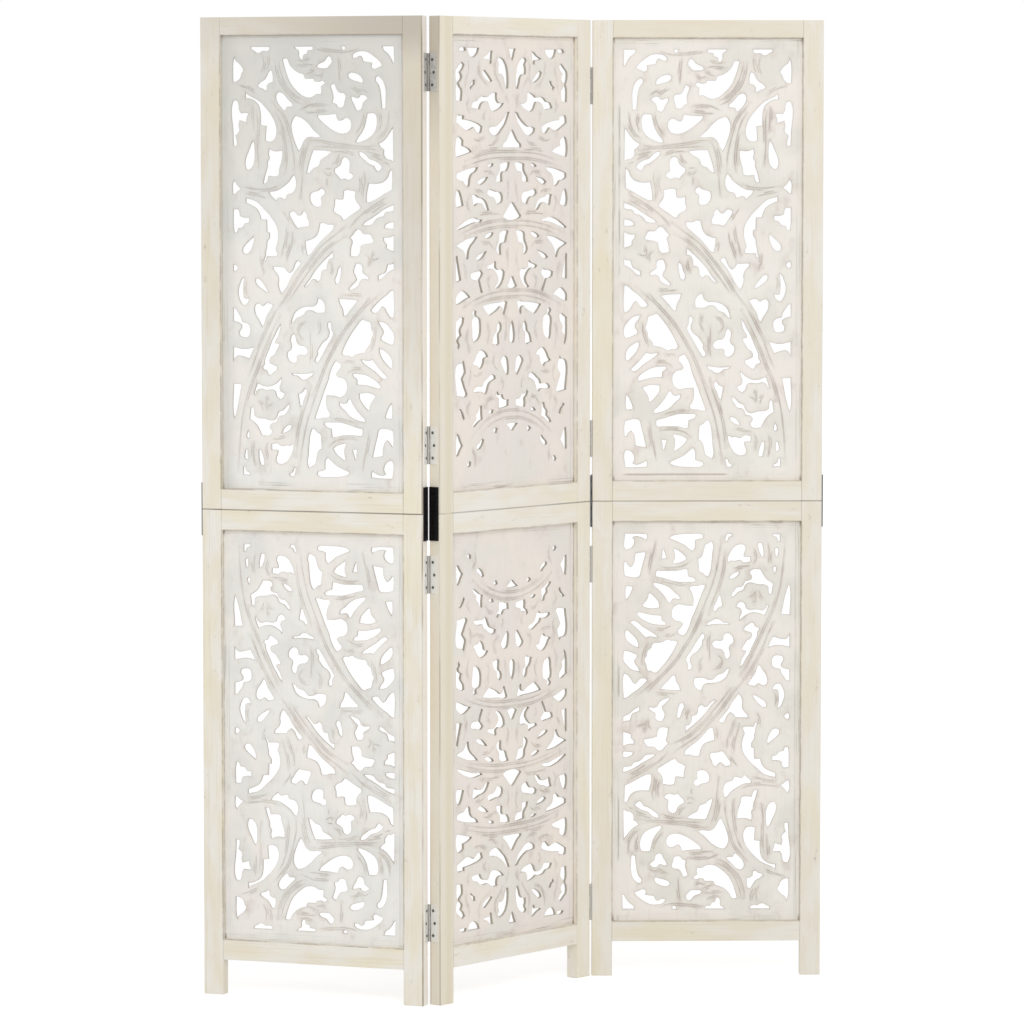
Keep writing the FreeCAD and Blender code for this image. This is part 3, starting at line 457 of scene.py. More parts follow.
# cut lines of a side board, in the same shares
sideGrooves = [
    [(22, 2.4), (30, 4), (38, 3.7), (44, 3), (48.7, 1.8)],
    [(34.5, 6), (34, 11), (33.5, 16), (33.2, 21)],
    [(48.5, 14.2), (52, 15.8), (54.5, 16.6)],
    [(49.5, 11.2), (55, 10.8), (60.5, 11.6)],
    [(51, 7.2), (54.5, 9), (60, 8.2)],
    [(43.5, 16), (46, 17.4), (49, 16.8)],
    [(71.2, 8), (70.4, 13), (68, 20), (64.5, 25.5), (60, 29.2), (55.5, 31.6)],
    [(73.3, 8), (72.6, 15), (70.3, 21.5), (66.5, 26.5), (61.5, 31.3), (56, 34)],
    [(77.3, 5), (77, 9), (78.6, 14.5)],
    [(81, 5.5), (80.3, 10), (82, 16)],
    [(85.5, 27.5), (90, 24.6), (96.5, 22.2)],
    [(75.3, 32), (71.3, 37), (67, 43.5), (65, 50), (63, 57.5), (61.6, 65), (61.5, 71.5)],
    [(73.4, 38), (70.3, 43), (68, 50), (66.5, 58), (66, 66), (67, 73)],
    [(84.8, 37), (84.4, 44), (84.6, 52), (84.3, 62), (83.5, 70)],
    [(87.3, 34.5), (87, 42), (86.6, 49)],
    [(3, 38.5), (3.6, 44), (6, 49.5), (10, 53.6)],
    [(7.8, 39), (7.6, 44), (9.2, 49)],
    [(18.2, 38.8), (19, 42.5), (20.5, 46.5), (23.5, 51)],
    [(15.5, 27.5), (19, 25.3), (22, 27.3), (24.8, 25), (27, 24.3)],
    [(39.5, 34.5), (45, 33.6), (51, 34), (58, 37)],
    [(40, 37.6), (47, 38.3), (54, 38.6)],
    [(10.8, 57.3), (18, 58.1), (28, 57), (38, 55.8), (46, 54.4), (51.8, 54.8)],
    [(8.8, 60.4), (14, 59.5), (22, 59.2), (31, 58.8), (40, 58.2), (48, 57.8)],
    [(8, 63), (12, 62), (17, 60.8)],
    [(7, 66), (10, 64.6), (14, 63.2)],
    [(2.8, 68.2), (6, 67)],
    [(23.5, 63.5), (28, 61.8), (33, 60.8), (36.5, 61)],
    [(33.5, 62.3), (35, 65.8), (37.8, 68)],
    [(52.3, 55.5), (54.3, 61), (55.6, 67), (56.3, 74), (57, 81), (57.6, 88)],
    [(55.5, 57.5), (57.5, 64), (58.3, 71)],
    [(18.3, 73), (17.6, 77), (18.7, 83), (19, 89)],
    [(21.3, 75.5), (20.8, 80), (21.8, 85)],
    [(38, 74.5), (41, 74.2), (43, 72.5)],
    [(41.3, 76), (41.2, 80.5)],
    [(38.5, 70.6), (42, 70.8)],
    [(70.5, 80.3), (76, 82), (84, 82.6), (93, 81.4)],
    [(79, 87.5), (85, 86.2), (92, 85)],
    [(3, 86.3), (8, 89), (13, 92), (18, 95.6), (22.5, 99.3), (27, 104)],
    [(4, 90), (9, 93), (14, 96.2)],
    [(29, 102.8), (34, 107), (39, 110.6), (44, 114.3), (49, 119.3), (54, 125.3), (59, 131.8),
     (63.5, 138.6), (68, 146), (72.5, 152)],
    [(29.5, 109.5), (35, 112.6), (40, 116), (45, 120.8), (50, 126.4), (55, 132.7), (60, 139.6),
     (65, 146.8)],
    [(56.5, 114), (56.8, 117), (56, 120.5)],
    [(62.6, 107.5), (63, 113), (64.8, 119), (67, 125)],
    [(66.4, 104), (67, 110), (68.4, 116), (70, 122.5)],
    [(64.7, 101.5), (66.5, 98.3), (68.8, 95)],
    [(38.2, 125.3), (38.6, 129), (39.6, 132)],
    [(20.5, 143.6), (26, 143.4), (32, 143)],
    [(82.5, 121.5), (82.3, 126), (80.6, 130.4)],
    [(91.6, 135), (92, 139), (91.5, 143)],
    [(13, 117.5), (13.6, 121), (12.8, 124)],
    [(9, 121.5), (11.3, 122.6), (13.8, 122.4)],
    [(17, 120), (15.3, 122), (15.6, 126)],
    [(7, 140.8), (12, 145), (17.5, 150), (22.5, 155), (27.6, 160.8), (32, 166.5), (35.6, 172.5),
     (38.7, 178), (41.6, 183.5), (44.3, 190), (47.4, 198), (50.3, 206), (52.8, 213), (54.9, 220.5),
     (56.8, 230), (58.2, 239), (59.3, 246.5)],
    [(15, 145), (20, 150.5), (25, 156), (30, 161.8), (34.3, 167.6)],
    [(51.5, 195.5), (53, 202), (55.6, 209), (57.7, 216), (59.3, 223), (60.3, 230), (61.2, 237)],
    [(70.2, 155), (74.6, 162.5), (78.6, 170.5), (82.2, 178.5), (85.6, 187), (89.7, 196.5), (92.3, 205),
     (94.3, 214), (95.7, 225), (96.6, 236), (97, 246)],
    [(73.5, 153), (77, 160), (80.8, 167.5), (84.3, 175), (87.3, 183), (90.5, 190.5)],
    [(51.8, 164.5), (51.9, 170), (51.6, 177), (52.3, 183)],
    [(46, 157.5), (45.5, 162.5), (47.5, 167)],
    [(54, 158.5), (58.5, 160.7), (59.5, 165), (56.5, 169)],
    [(11.2, 162.5), (11.6, 168), (12.8, 172.5), (15, 176)],
    [(24.5, 181.3), (28.5, 181), (31, 182.3)],
    [(19.5, 186.3), (24.5, 186), (29, 188.2)],
    [(23.5, 217), (28, 215.8), (34, 214.4), (38.3, 214.9)],
    [(22, 226.6), (28, 226), (36, 227.3), (40.5, 230.5)],
    [(79.5, 202.5), (79.3, 205.5), (80, 208)],
    [(75.5, 206.5), (77.7, 207.6), (79.6, 210.5)],
    [(84, 205.5), (82.3, 208), (81.6, 211)],
    [(66.5, 225.5), (71, 226.8), (76, 227)],
    [(78.3, 228.8), (80, 233.5), (78.6, 239)],
    [(87, 229), (87.6, 235), (86.8, 242)],
    [(15.7, 222), (16.6, 229), (18.3, 237), (19.5, 244)],
]

# cut-outs of a centre board, measured from its middle line and made on both sides of it
pairedHoles = [
    [(47.7, 2.8), (46.5, 1.2), (42, 1), (41.5, 2.8), (44, 3.2)],
    [(40.4, 1.2), (29.8, 1.2), (31, 4), (34, 6.2), (36.3, 6.5), (38.5, 5.3)],
    [(26.5, 6.8), (22.5, 5), (19.8, 3), (17.8, 2.6), (18.3, 6), (18.7, 9.8), (20.2, 10.3), (21, 7.6),
     (24, 7.4)],
    [(13.2, 8), (11.8, 6.2), (8.5, 7), (5.5, 10), (4, 14), (3.4, 19), (3.6, 24), (5.2, 24.5), (6.7, 21),
     (7.8, 17.5), (9.7, 16), (12.2, 16), (12.5, 12.5), (11.8, 10.2)],
    [(27, 14.8), (24.8, 13.7), (21.8, 16.2), (18, 20), (19.7, 20.6), (23.7, 19), (26, 17)],
    [(38.7, 23.3), (36.5, 21.8), (35.7, 19.6), (33.7, 19.6), (33.8, 22.2), (36, 23.4), (37.4, 25.2)],
    [(50.4, 14), (48.7, 12.4), (46.5, 10.4), (45, 9.3), (42.8, 11), (44.4, 13.6), (46.4, 15.2),
     (45, 17.6), (45.5, 19.2), (48, 21.3), (46.7, 23.6), (45, 25.2), (45.3, 31.6), (50.2, 31.8),
     (50.2, 23.8), (49.2, 21.5), (50.4, 19.3)],
    [(36.8, 35.4), (35.2, 32.6), (31.2, 31.5), (29.7, 30), (26.7, 29), (21.4, 29.2), (20.7, 28.4),
     (18.7, 27.4), (16.8, 26.7), (13.6, 27), (13.9, 29), (13.2, 31.5), (11.7, 32.7), (7.6, 32.8),
     (9.7, 35), (12.2, 36.3), (14.2, 36.9), (16.7, 37.6), (19.7, 36), (21, 33.4), (22, 31.8),
     (24.7, 31.9), (27.2, 33), (29.2, 36.3), (31.3, 36.2), (34.7, 35.8)],
    [(49.7, 41), (48.7, 39.6), (45.2, 40.2), (43.3, 40), (43.3, 42.3), (38.7, 42.8), (33.7, 43.8),
     (29.2, 45.2), (26.8, 46.5), (27.8, 49.8), (30.7, 50.2), (32.7, 48.6), (34.5, 46.7), (37.7, 48.1),
     (40.7, 48.6), (44.7, 47), (48.2, 45), (50, 44)],
    [(20.7, 47.2), (18.7, 46.5), (14.7, 46.2), (10.7, 44), (7, 41), (4.8, 38.3), (2.4, 37.7),
     (3.7, 40.6), (5.7, 44.5), (9.2, 48), (12.2, 50.7), (15.7, 51.5), (18.7, 50.5), (20.5, 49)],
    [(50.2, 54.2), (49, 52.2), (46.2, 52.6), (43.8, 54.3), (44, 57.5), (40.7, 58.3), (37.7, 59.8),
     (36.5, 61), (39.7, 61.8), (44.7, 63), (49.7, 64), (50.4, 63)],
    [(22.4, 69.4), (20.2, 68), (17, 67.6), (17.2, 69), (19.7, 69.8)],
    [(11, 68), (8.7, 67.4), (4.7, 66.9), (2.4, 67.2), (2.9, 69.5), (4.9, 72), (7.7, 72.3), (8.8, 73),
     (9, 78), (11.2, 78.4), (14.5, 78.3), (14, 75.5), (12.2, 73.5), (11.1, 71.5)],
    [(49.7, 73.5), (45.7, 72.2), (39.7, 70.8), (34.7, 70.1), (30.8, 69.8), (32.2, 71.8), (36.2, 74),
     (37.7, 76.5), (38.4, 80.3), (39.8, 81.2), (42.2, 79.8), (43.7, 78), (47.7, 77.2), (49.9, 75.8)],
    [(31.4, 78.6), (29.2, 77), (25.7, 76), (21.8, 75.4), (23.2, 77.2), (26.7, 79.4), (29, 80)],
    [(50.2, 84.5), (49.2, 82.8), (47.2, 83.4), (45.4, 86.5), (43.7, 91.8), (46.2, 92.3), (49.2, 92.8),
     (50.4, 91.5)],
    [(36.3, 86), (32.7, 85.7), (29.7, 87.2), (26.7, 87.8), (24.2, 89), (22.5, 91), (20.8, 94.6),
     (22.7, 94.9), (24.7, 93.5), (26.2, 91.6), (28.7, 90.5), (31.7, 91), (33.7, 92.3), (34.8, 91.5),
     (35.3, 89)],
    [(22.2, 83.8), (20.7, 82.7), (16.7, 83.3), (13.7, 84), (10.2, 84.5), (8.5, 87), (9.2, 90),
     (11.2, 90.8), (13.7, 91.4), (14.7, 89.5), (16.7, 87.3), (20.7, 86.5), (22.4, 85.3)],
    [(50, 105.2), (46.7, 103.2), (43.7, 101.5), (40.7, 100.3), (36.7, 99.2), (32.7, 99.2), (29.7, 99.9),
     (27.2, 100.1), (28.2, 101.4), (32.7, 101.5), (38.7, 103), (44.7, 104.8), (48.7, 105.7)],
    [(24.8, 110), (22.7, 108.6), (18.7, 107.5), (16.8, 107.9), (18.2, 109.6), (21.7, 110.9),
     (24.2, 110.8)],
    [(11.2, 108), (9.2, 107), (5.7, 106.5), (3.3, 107), (4.7, 110), (5.9, 113.2), (8.7, 113.8),
     (9.9, 114.6), (10, 120.5), (12.2, 120.3), (14.2, 117.8), (13.7, 115.5), (12, 112.5)],
    [(50.2, 114.7), (45.7, 113), (40.7, 111.2), (35.7, 110.3), (31.2, 109.8), (33.2, 112), (36.7, 115),
     (38.7, 118), (39.5, 122.5), (41.2, 122.8), (42.4, 119.5), (44.2, 117.5), (47.7, 116)],
    [(32.8, 122.6), (30.7, 120.8), (26.7, 119.3), (22.9, 118.2), (24.7, 120.3), (27.7, 122.8),
     (31.2, 123.4)],
    [(22.8, 127.2), (20.2, 126.3), (17.2, 125.3), (15.8, 124), (14.4, 124.8), (14.7, 127.8),
     (12.7, 129.2), (8.7, 129), (6.8, 130.5), (7.2, 133.5), (9.2, 137), (11.7, 139.3), (14.2, 140.1),
     (15.5, 139.5), (13.2, 137), (12.4, 134.5), (13.4, 132.3), (15.7, 129.7), (17.7, 128.6),
     (21.7, 128.7)],
    [(37.5, 131.2), (34.7, 130.4), (31.2, 130), (28.7, 129.3), (26.3, 131), (27.5, 133), (29.3, 134.8),
     (28.2, 138), (26.6, 142), (28.1, 142.6), (30.3, 138), (31.8, 135), (34.7, 134.8), (36.9, 133.6)],
    [(50.5, 121), (49.2, 120.5), (47.7, 127), (45.8, 134.6), (47.7, 135.3), (50.4, 135.5)],
    [(50.5, 144.8), (48.2, 142.3), (45.2, 140.7), (42.2, 141.4), (39.7, 143), (37.7, 144.6),
     (41.2, 145.6), (44.7, 147.2), (48.2, 148.4), (50.4, 148.6)],
    [(26.4, 150), (22.7, 149.3), (16.7, 148.6), (10.7, 148.2), (6.2, 147.5), (4.4, 148.3), (5.7, 152),
     (7.2, 155.6), (8.4, 155), (8.7, 151.6), (10.7, 150.5), (13.2, 152.5), (16.7, 154.2), (20.7, 155.4),
     (23.2, 153.6), (25.2, 151.6)],
    [(50.5, 158.5), (48.7, 157.5), (46.2, 156), (43.3, 156.4), (43.8, 159.6), (45.7, 162), (46.5, 163.6),
     (45.7, 166.6), (47.7, 168), (48.5, 169.6), (47.2, 172.4), (48.4, 174.6), (49.7, 172), (50.4, 169),
     (50.6, 166.5)],
    [(36.4, 160), (35.9, 157.6), (34.2, 156.3), (35.9, 153.8), (34.7, 152.2), (32.2, 152.8),
     (32.4, 155.2), (31.2, 156.2), (29.2, 157), (28.2, 160), (28.5, 166), (30.2, 169), (32.7, 170.3),
     (34.7, 170.6), (35.5, 168.5), (35.9, 164)],
    [(13.9, 163.5), (13.2, 161), (11.7, 159.4), (9.8, 161), (10, 164.5), (12, 166.5), (11.9, 169.5),
     (11.7, 172), (13.5, 173.3), (15.7, 172.3), (17.9, 172), (17.5, 170), (16.2, 167), (14.2, 165.3)],
    [(35.4, 183.2), (33.7, 181.5), (32.4, 179), (30.7, 177), (28.7, 175.5), (26.7, 175.7), (23.7, 177),
     (21.8, 179.4), (24.9, 180.3), (25.7, 183), (27.2, 185.5), (29.2, 186.6), (31.2, 184.4),
     (33.4, 184)],
    [(10.4, 182.6), (9.2, 180.7), (6.9, 179.4), (4.4, 180.5), (3.3, 184), (3.5, 190), (4.7, 190.9),
     (6.7, 188.5), (8.7, 185.5)],
    [(50.2, 184.5), (48.7, 183.2), (45.2, 182.5), (43.7, 180.8), (42.7, 184), (42, 188), (43.5, 190),
     (44.7, 191.6), (42.7, 196), (40.4, 200.6), (41.7, 202), (45.7, 201.6), (49.7, 201)],
    [(34.8, 198.5), (32.2, 196.8), (26.7, 196.8), (25.7, 194.5), (23.2, 192.8), (20.7, 191),
     (17.7, 189.9), (15.2, 190.9), (15, 192.5), (17.7, 193.5), (20.2, 194.8), (21.7, 197.5), (23, 200.5),
     (24.7, 201.4), (26.2, 199.9), (31.7, 199.7), (34.2, 199.8)],
    [(14.6, 201), (13.2, 199.8), (11.7, 202.2), (8.7, 201.8), (7.7, 204), (5.7, 205), (3.3, 205),
     (3.5, 208.5), (6.7, 209.3), (11.7, 209.9), (12.1, 207.5), (11.9, 204.5), (13.7, 203)],
    [(36, 219.2), (34.2, 217.2), (32.2, 215.5), (32.5, 213), (30.7, 211.3), (29.4, 208), (27.2, 207.7),
     (27.2, 212), (26.7, 215.6), (29.2, 216.5), (32.2, 218.6), (34.7, 219.9)],
    [(21.7, 212.2), (19.7, 210.5), (16.9, 210.5), (17.7, 212.6)],
    [(17.2, 222.4), (15.2, 221), (13.2, 221.8), (14.2, 224.1), (16, 223.8)],
    [(50.2, 228), (49.7, 223), (47.7, 224.4), (46.2, 227.5), (44.5, 230.2), (46.7, 233), (48.9, 236),
     (50.4, 236)],
    [(32, 231.5), (29.2, 229), (27.2, 226.8), (25.4, 227.8), (26.7, 230.5), (29.7, 232.9),
     (31.9, 232.8)],
    [(40.8, 241.5), (39.2, 239.7), (37.3, 239.8), (37.4, 242), (39.7, 243)],
    [(48.4, 209.6), (46.7, 208.8), (44.5, 211), (42.8, 214.6), (44.2, 215.4), (45.4, 212.6)],
]

# cut-outs on the middle line of a centre board
middleHoles = [
    [(3.2, 1.2), (2.2, 3.4), (1.2, 6.5), (0, 8.3), (-1.2, 6.5), (-2.2, 3.4), (-3.2, 1.2)],
    [(8.3, 57), (5.2, 54.4), (2.4, 50.6), (0.4, 48.2), (-0.4, 48.2), (-2.4, 50.6), (-5.2, 54.4),
     (-8.3, 57), (-8.1, 58.4), (8.1, 58.4)],
    [(8.2, 98.2), (5.6, 95.4), (2.6, 92), (0.8, 90.4), (-0.8, 90.4), (-2.6, 92), (-5.6, 95.4),
     (-8.2, 98.2), (-7.8, 98.8), (7.8, 98.8)],
    [(4.2, 138.8), (2.6, 136.2), (0.9, 133.4), (-0.9, 133.4), (-2.6, 136.2), (-4.2, 138.8),
     (-3.8, 139.4), (3.8, 139.4)],
    [(0, 158.8), (1.4, 161.5), (2.3, 166), (2.2, 170.3), (1.2, 171.8), (-1.2, 171.8), (-2.2, 170.3),
     (-2.3, 166), (-1.4, 161.5)],
    [(5, 219.3), (2.5, 221.3), (0.6, 223.2), (-0.6, 223.2), (-2.5, 221.3), (-5, 219.3), (-2, 218.8),
     (2, 218.8)],
]

# arched lines over the middle of a centre board, given for one side of its middle line
arches = [
    [(0, 61.3), (12, 61.4), (22, 62.1), (31, 63.6), (42, 66.3)],
    [(0, 64.3), (12, 64.4), (22, 65.2), (32, 66.9), (44, 69.8)],
    [(0, 101.2), (12, 101.3), (22, 102.3), (32, 104.2), (42, 106.8), (49, 109.2)],
    [(0, 103.8), (12, 104), (22, 105), (32, 107), (43, 110)],
    [(0, 142), (12, 142.2), (22, 143.4), (34, 146.6), (44, 150.5)],
    [(0, 144.8), (12, 145), (22, 146.4), (34, 149.6)],
    [(0, 211.8), (8, 212.2), (15, 213.8), (23, 216.8), (30, 221), (36, 225.5)],
    [(0, 215.2), (8, 215.6), (15, 217.3), (22, 220.2), (28, 224)],
]

# cut lines of a centre board, made on both sides of its middle line
pairedGrooves = [
    [(10, 59.9), (20, 59.9), (29, 60.9)],
    [(11, 97.2), (20, 96.8), (30, 97.4)],
    [(14.5, 6.5), (15.3, 11), (14.6, 17), (11.5, 21.5), (9, 26)],
    [(30, 9), (29.5, 14), (26.5, 19.5), (21, 23.5)],
    [(39.5, 9), (39, 15), (41, 20), (42.3, 27)],
    [(39, 31), (40.2, 35), (38.5, 38.5)],
    [(6, 28), (3.5, 31.5), (4, 35)],
    [(24, 37.5), (25.5, 40.5), (24.5, 43)],
    [(24.2, 53), (29, 54.5), (34, 54)],
    [(13, 54), (17, 56.8), (22, 57.3)],
    [(26, 72.5), (20, 72.2), (16, 74.5)],
    [(34, 82.8), (29, 83.2), (25.5, 85)],
    [(4, 76), (3, 82), (4.5, 88)],
    [(38.5, 86), (40, 91), (38, 95.5)],
    [(28, 113), (21, 113.5), (17, 117)],
    [(4.5, 118), (3.5, 124), (4.6, 129)],
    [(44, 125), (41.5, 130), (41.6, 136)],
    [(20, 133), (22, 136.5), (20.5, 140)],
    [(22, 160), (20.5, 166), (23, 171)],
    [(6, 160), (5.4, 166), (6.5, 173)],
    [(39.5, 162), (40.5, 169), (38.8, 176)],
    [(15.5, 178), (16.4, 184), (13, 188)],
    [(38, 186), (37.2, 192), (39, 195)],
    [(9.5, 192.5), (8, 196.5), (9.5, 199.5)],
    [(26, 188.8), (31, 190.5), (35.5, 190)],
    [(38, 205), (40, 209), (38.6, 214)],
    [(17, 204), (22, 205.3), (24.5, 208.8)],
    [(36, 232), (33, 237), (33.8, 242)],
]


def bothSides(points):
    return [points, [(-u, v) for u, v in points]]


def acrossMiddle(points):
    return [(-u, v) for u, v in points[:0:-1]] + points


def fromMiddle(points):
    return [(fieldShares[0] / 2 + u, v) for u, v in points]


centreHoles = [fromMiddle(points) for pair in pairedHoles for points in bothSides(pair)]
centreHoles += [fromMiddle(points) for points in middleHoles]
centreGrooves = [fromMiddle(points) for pair in pairedGrooves for points in bothSides(pair)]
centreGrooves += [fromMiddle(acrossMiddle(points)) for points in arches]


# carved boards: lengths in metres, tones, and shares
boardLook = {
    "side": 0.026, "outerEnd": 0.025, "innerEnd": 0.026, "tucked": 0.007,
    "step": 0.0022, "sharpTurn": 58, "widestCorner": 1.6, "pitch": 0.0045, "clearShare": 0.62,
    "edge": {"side": 0.001, "centre": 0.0005}, "edgeMark": 0.15, "wallMarks": (1.7, 2.0),
    "grooveWide": 0.0036, "grooveDeep": 0.0012, "grooveEnd": 0.16, "grooveEndPower": 0.7,
    "twinGap": 0.0031, "twinFrom": 7, "twinLeast": 4,
    "twinShares": ((0.35, 0.9), (0.12, 0.62), (0.12, 0.62)),
    "swellReach": 0.0075, "lineSwell": 0.75, "holeSoft": 0.6,
    "swellDeep": {"side": 0.0012, "centre": 0.0006},
    "warm": {"left": shade(242, 237, 230), "centre": shade(243, 234, 225), "right": shade(240, 234, 227)},
    "cool": {"left": shade(239, 238, 233), "centre": shade(237, 230, 224), "right": shade(238, 235, 227)},
    "leafy": {"left": shade(226, 226, 221), "centre": shade(233, 230, 222), "right": shade(226, 223, 214)},
    "grain": shade(212, 203, 194), "smear": shade(206, 193, 184), "grimeAndShade": shade(150, 138, 126),
    "bare": shade(165, 151, 140), "cutShade": shade(170, 165, 158), "shadow": shade(212, 204, 196),
    "wall": shade(180, 173, 161), "paintedShadeTone": shade(197, 197, 191), "roughness": 0.62,
    "rubAndShadeOf": {"left": 0.38, "centre": 0.46, "right": 0.44},
    "shadowOf": {"left": 0.5, "centre": 0.6, "right": 0.7},
    "wallShadeOf": {"left": 0.5, "centre": 0.9, "right": 0.5},
    "ruled": 0.0095, "border": 0.0185, "scrapeMiddle": 0.34, "scrapeReach": (0.24, 0.28),
    "paintedShadeFrom": 0.35, "paintedShadeAmounts": (0.0, 0.55),
    "chance": 9.0, "bumpMix": (0.5, 0.5), "bump": (0.35, 0.0008),
    "noises": {    # stretch across and up, shift, scale, detail, roughness
        "clouds": (1, 1, 0, 8.0, 3.0, 0.55), "leaves": (1, 1, 3.7, 13.0, 2.0, 0.5),
        "rubs": (1, 1, 1.3, 24.0, 2.0, 0.5), "streaks": (480, 20, 0, 1.0, 4.0, 0.62),
        "scuffs": (90, 60, 0, 1.0, 4.0, 0.6), "smears": (34, 22, 5.1, 1.0, 3.0, 0.6),
        "sideRubs": (520, 9, 0, 1.0, 3.0, 0.6), "endRubs": (11, 420, 2.2, 1.0, 3.0, 0.6),
    },
    "fades": {    # from, to, and the amount at both where it isn't 0 and 1
        "cool": (0.4, 0.62), "leafy": (0.44, 0.68, 0.0, 0.7),
        "grain": (0.48, 0.8, 0.0, 0.24), "smear": (0.56, 0.78, 0.0, 0.5),
        "nearSide": (0.003, 0.015, 0.6, 0.0), "sideRub": (0.52, 0.7),
        "nearEnd": (0.004, 0.019, 0.7, 0.0), "endRub": (0.52, 0.68),
        "ruledLine": (0.0003, 0.0013, 0.25, 0.0), "patchy": (0.44, 0.6, 0.15, 1.0),
        "sideScrape": (0.0004, 0.0018, 0.55, 0.0), "sideScrapePatch": (0.46, 0.58),
        "topScuff": (0.001, 0.007, 0.75, 0.0), "topScuffPatch": (0.44, 0.6),
        "lowScrape": (0.0007, 0.0022, 0.6, 0.0), "lowScrapePatch": (0.2, 0.5, 0.5, 1.0),
        "seamShade": (0.0004, 0.0021, 0.5, 0.0), "seamShadePatch": (0.3, 0.62, 0.3, 1.0),
        "soft": (0.12, 0.85), "softPatch": (0.38, 0.66, 0.15, 1.0),
        "groove": (0.08, 0.85), "grooveRub": (0.36, 0.66, 0.4, 1.0), "grooveScuff": (0.25, 0.6, 0.65, 1.0),
        "bareStroke": (0.48, 0.64), "wall": (1.0, 1.7),
        "cornerShadeSide": (0.001, 0.005, 0.75, 0.0), "cornerShadeEnd": (0.003, 0.014, 1.0, 0.0),
        "outerSideShade": (0.014, 0.04, 0.42, 0.0),
    },
}


# smooth curve between two places, with its direction at both
def hermite(start, end, leave, arrive, count):
    share = (np.arange(count) / count)[:, None]
    square = share * share
    cube = square * share
    return ((2 * cube - 3 * square + 1) * start + (cube - 2 * square + share) * leave
            + (3 * square - 2 * cube) * end + (cube - square) * arrive)


# smooth line through the points, with a corner where it turns sharply
def curve(points, closed):
    points = np.array(points)
    total = len(points)
    legs = np.roll(points, -1, 0) - points
    lengths = np.linalg.norm(legs, axis=1)
    ways = legs / lengths[:, None]
    back = np.roll(ways, 1, 0)
    turns = np.degrees(np.arccos(np.clip((ways * back).sum(1), -1, 1)))
    tangents = ways + back
    tangents = tangents / np.maximum(np.linalg.norm(tangents, axis=1), meshLook["tiny"])[:, None]
    sharp = turns > boardLook["sharpTurn"]
    if not closed:
        sharp[[0, -1]] = True
    runs = []
    for number in range(total if closed else total - 1):
        following = (number + 1) % total
        leave = ways[number] if sharp[number] else tangents[number]
        arrive = ways[number] if sharp[following] else tangents[following]
        count = max(2, round(lengths[number] / boardLook["step"]))
        runs.append(hermite(points[number], points[following], leave * lengths[number],
                            arrive * lengths[number], count))
    if not closed:
        runs.append(points[-1:])
    return np.vstack(runs)


# at each point of a line, the way to its right, longer at corners so that an offset stays even
def sideways(line, closed):
    legs = np.roll(line, -1, 0) - line
    if not closed:
        legs[-1] = legs[-2]
    ways = legs / np.maximum(np.linalg.norm(legs, axis=1), meshLook["tiny"])[:, None]
    back = np.roll(ways, 1, 0)
    if not closed:
        back[0] = ways[0]
    across = ways + back
    size = np.maximum(np.linalg.norm(across, axis=1), meshLook["thin"])[:, None]
    stretch = np.minimum(2 / size, boardLook["widestCorner"])
    return np.column_stack((across[:, 1], -across[:, 0])) / size * stretch


def area(loop):
    nextOne = np.roll(loop, -1, 0)
    return 0.5 * (loop[:, 0] * nextOne[:, 1] - nextOne[:, 0] * loop[:, 1]).sum()


def inside(spots, loop):
    found = np.zeros(len(spots), bool)
    for start, end in zip(loop, np.roll(loop, -1, 0)):
        over = (start[1] > spots[:, 1]) != (end[1] > spots[:, 1])
        rise = end[1] - start[1]
        if rise == 0:
            continue
        cross = start[0] + (spots[:, 1] - start[1]) / rise * (end[0] - start[0])
        found ^= over & (spots[:, 0] < cross)
    return found


def insideAny(spots, loops):
    found = np.zeros(len(spots), bool)
    for loop in loops:
        near = np.where(np.all((spots > loop.min(0)) & (spots < loop.max(0)), axis=1))[0]
        found[near[inside(spots[near], loop)]] = True
    return found


# width of a cut along its length, running out at both ends
def taper(count):
    share = np.linspace(0, 1, count)
    toEnd = np.minimum(share, 1 - share)
    return np.minimum(1, toEnd / boardLook["grooveEnd"]) ** boardLook["grooveEndPower"]


def grooveDepth(spots, lines):
    half = boardLook["grooveWide"] / 2
    depth = np.zeros(len(spots))
    for line in lines:
        near = np.all((spots > line.min(0) - half) & (spots < line.max(0) + half), axis=1)
        if not near.any():
            continue
        picked = spots[near]
        wide = np.maximum(taper(len(line)) * half, meshLook["thin"])
        best = np.zeros(len(picked))
        for number in range(len(line) - 1):
            leg = line[number + 1] - line[number]
            share = np.clip(((picked - line[number]) @ leg) / (leg @ leg), 0, 1)
            gap = np.linalg.norm(picked - line[number] - share[:, None] * leg, axis=1)
            room = wide[number] + share * (wide[number + 1] - wide[number])
            best = np.maximum(best, (1 - gap / room) * room / half)
        depth[near] = np.maximum(depth[near], best)
    return np.clip(depth, 0, 1)


# 1 on the lines, falling to 0 at the given distance
def nearness(spots, lines, distance):
    known = np.vstack(lines)
    tree = KDTree(len(known))
    for number, (u, v) in enumerate(known):
        tree.insert((u, v, 0), number)
    tree.balance()
    gaps = np.array([tree.find((u, v, 0))[2] for u, v in spots])
    return np.clip(1 - gaps / distance, 0, 1) ** 2


# staggered points between the outlines, so that the face can swell
def fillers(rim, loops, lines):
    pitch = boardLook["pitch"]
    low, high = rim.min(0) + pitch, rim.max(0) - pitch
    grid = []
    for row, v in enumerate(np.arange(low[1], high[1], pitch)):
        us = np.arange(low[0] + (row % 2) * pitch / 2, high[0], pitch)
        grid.append(np.column_stack((us, np.full(len(us), v))))
    grid = np.vstack(grid)
    grid = grid[~insideAny(grid, loops)]
    return grid[nearness(grid, loops + lines, pitch * boardLook["clearShare"]) == 0]


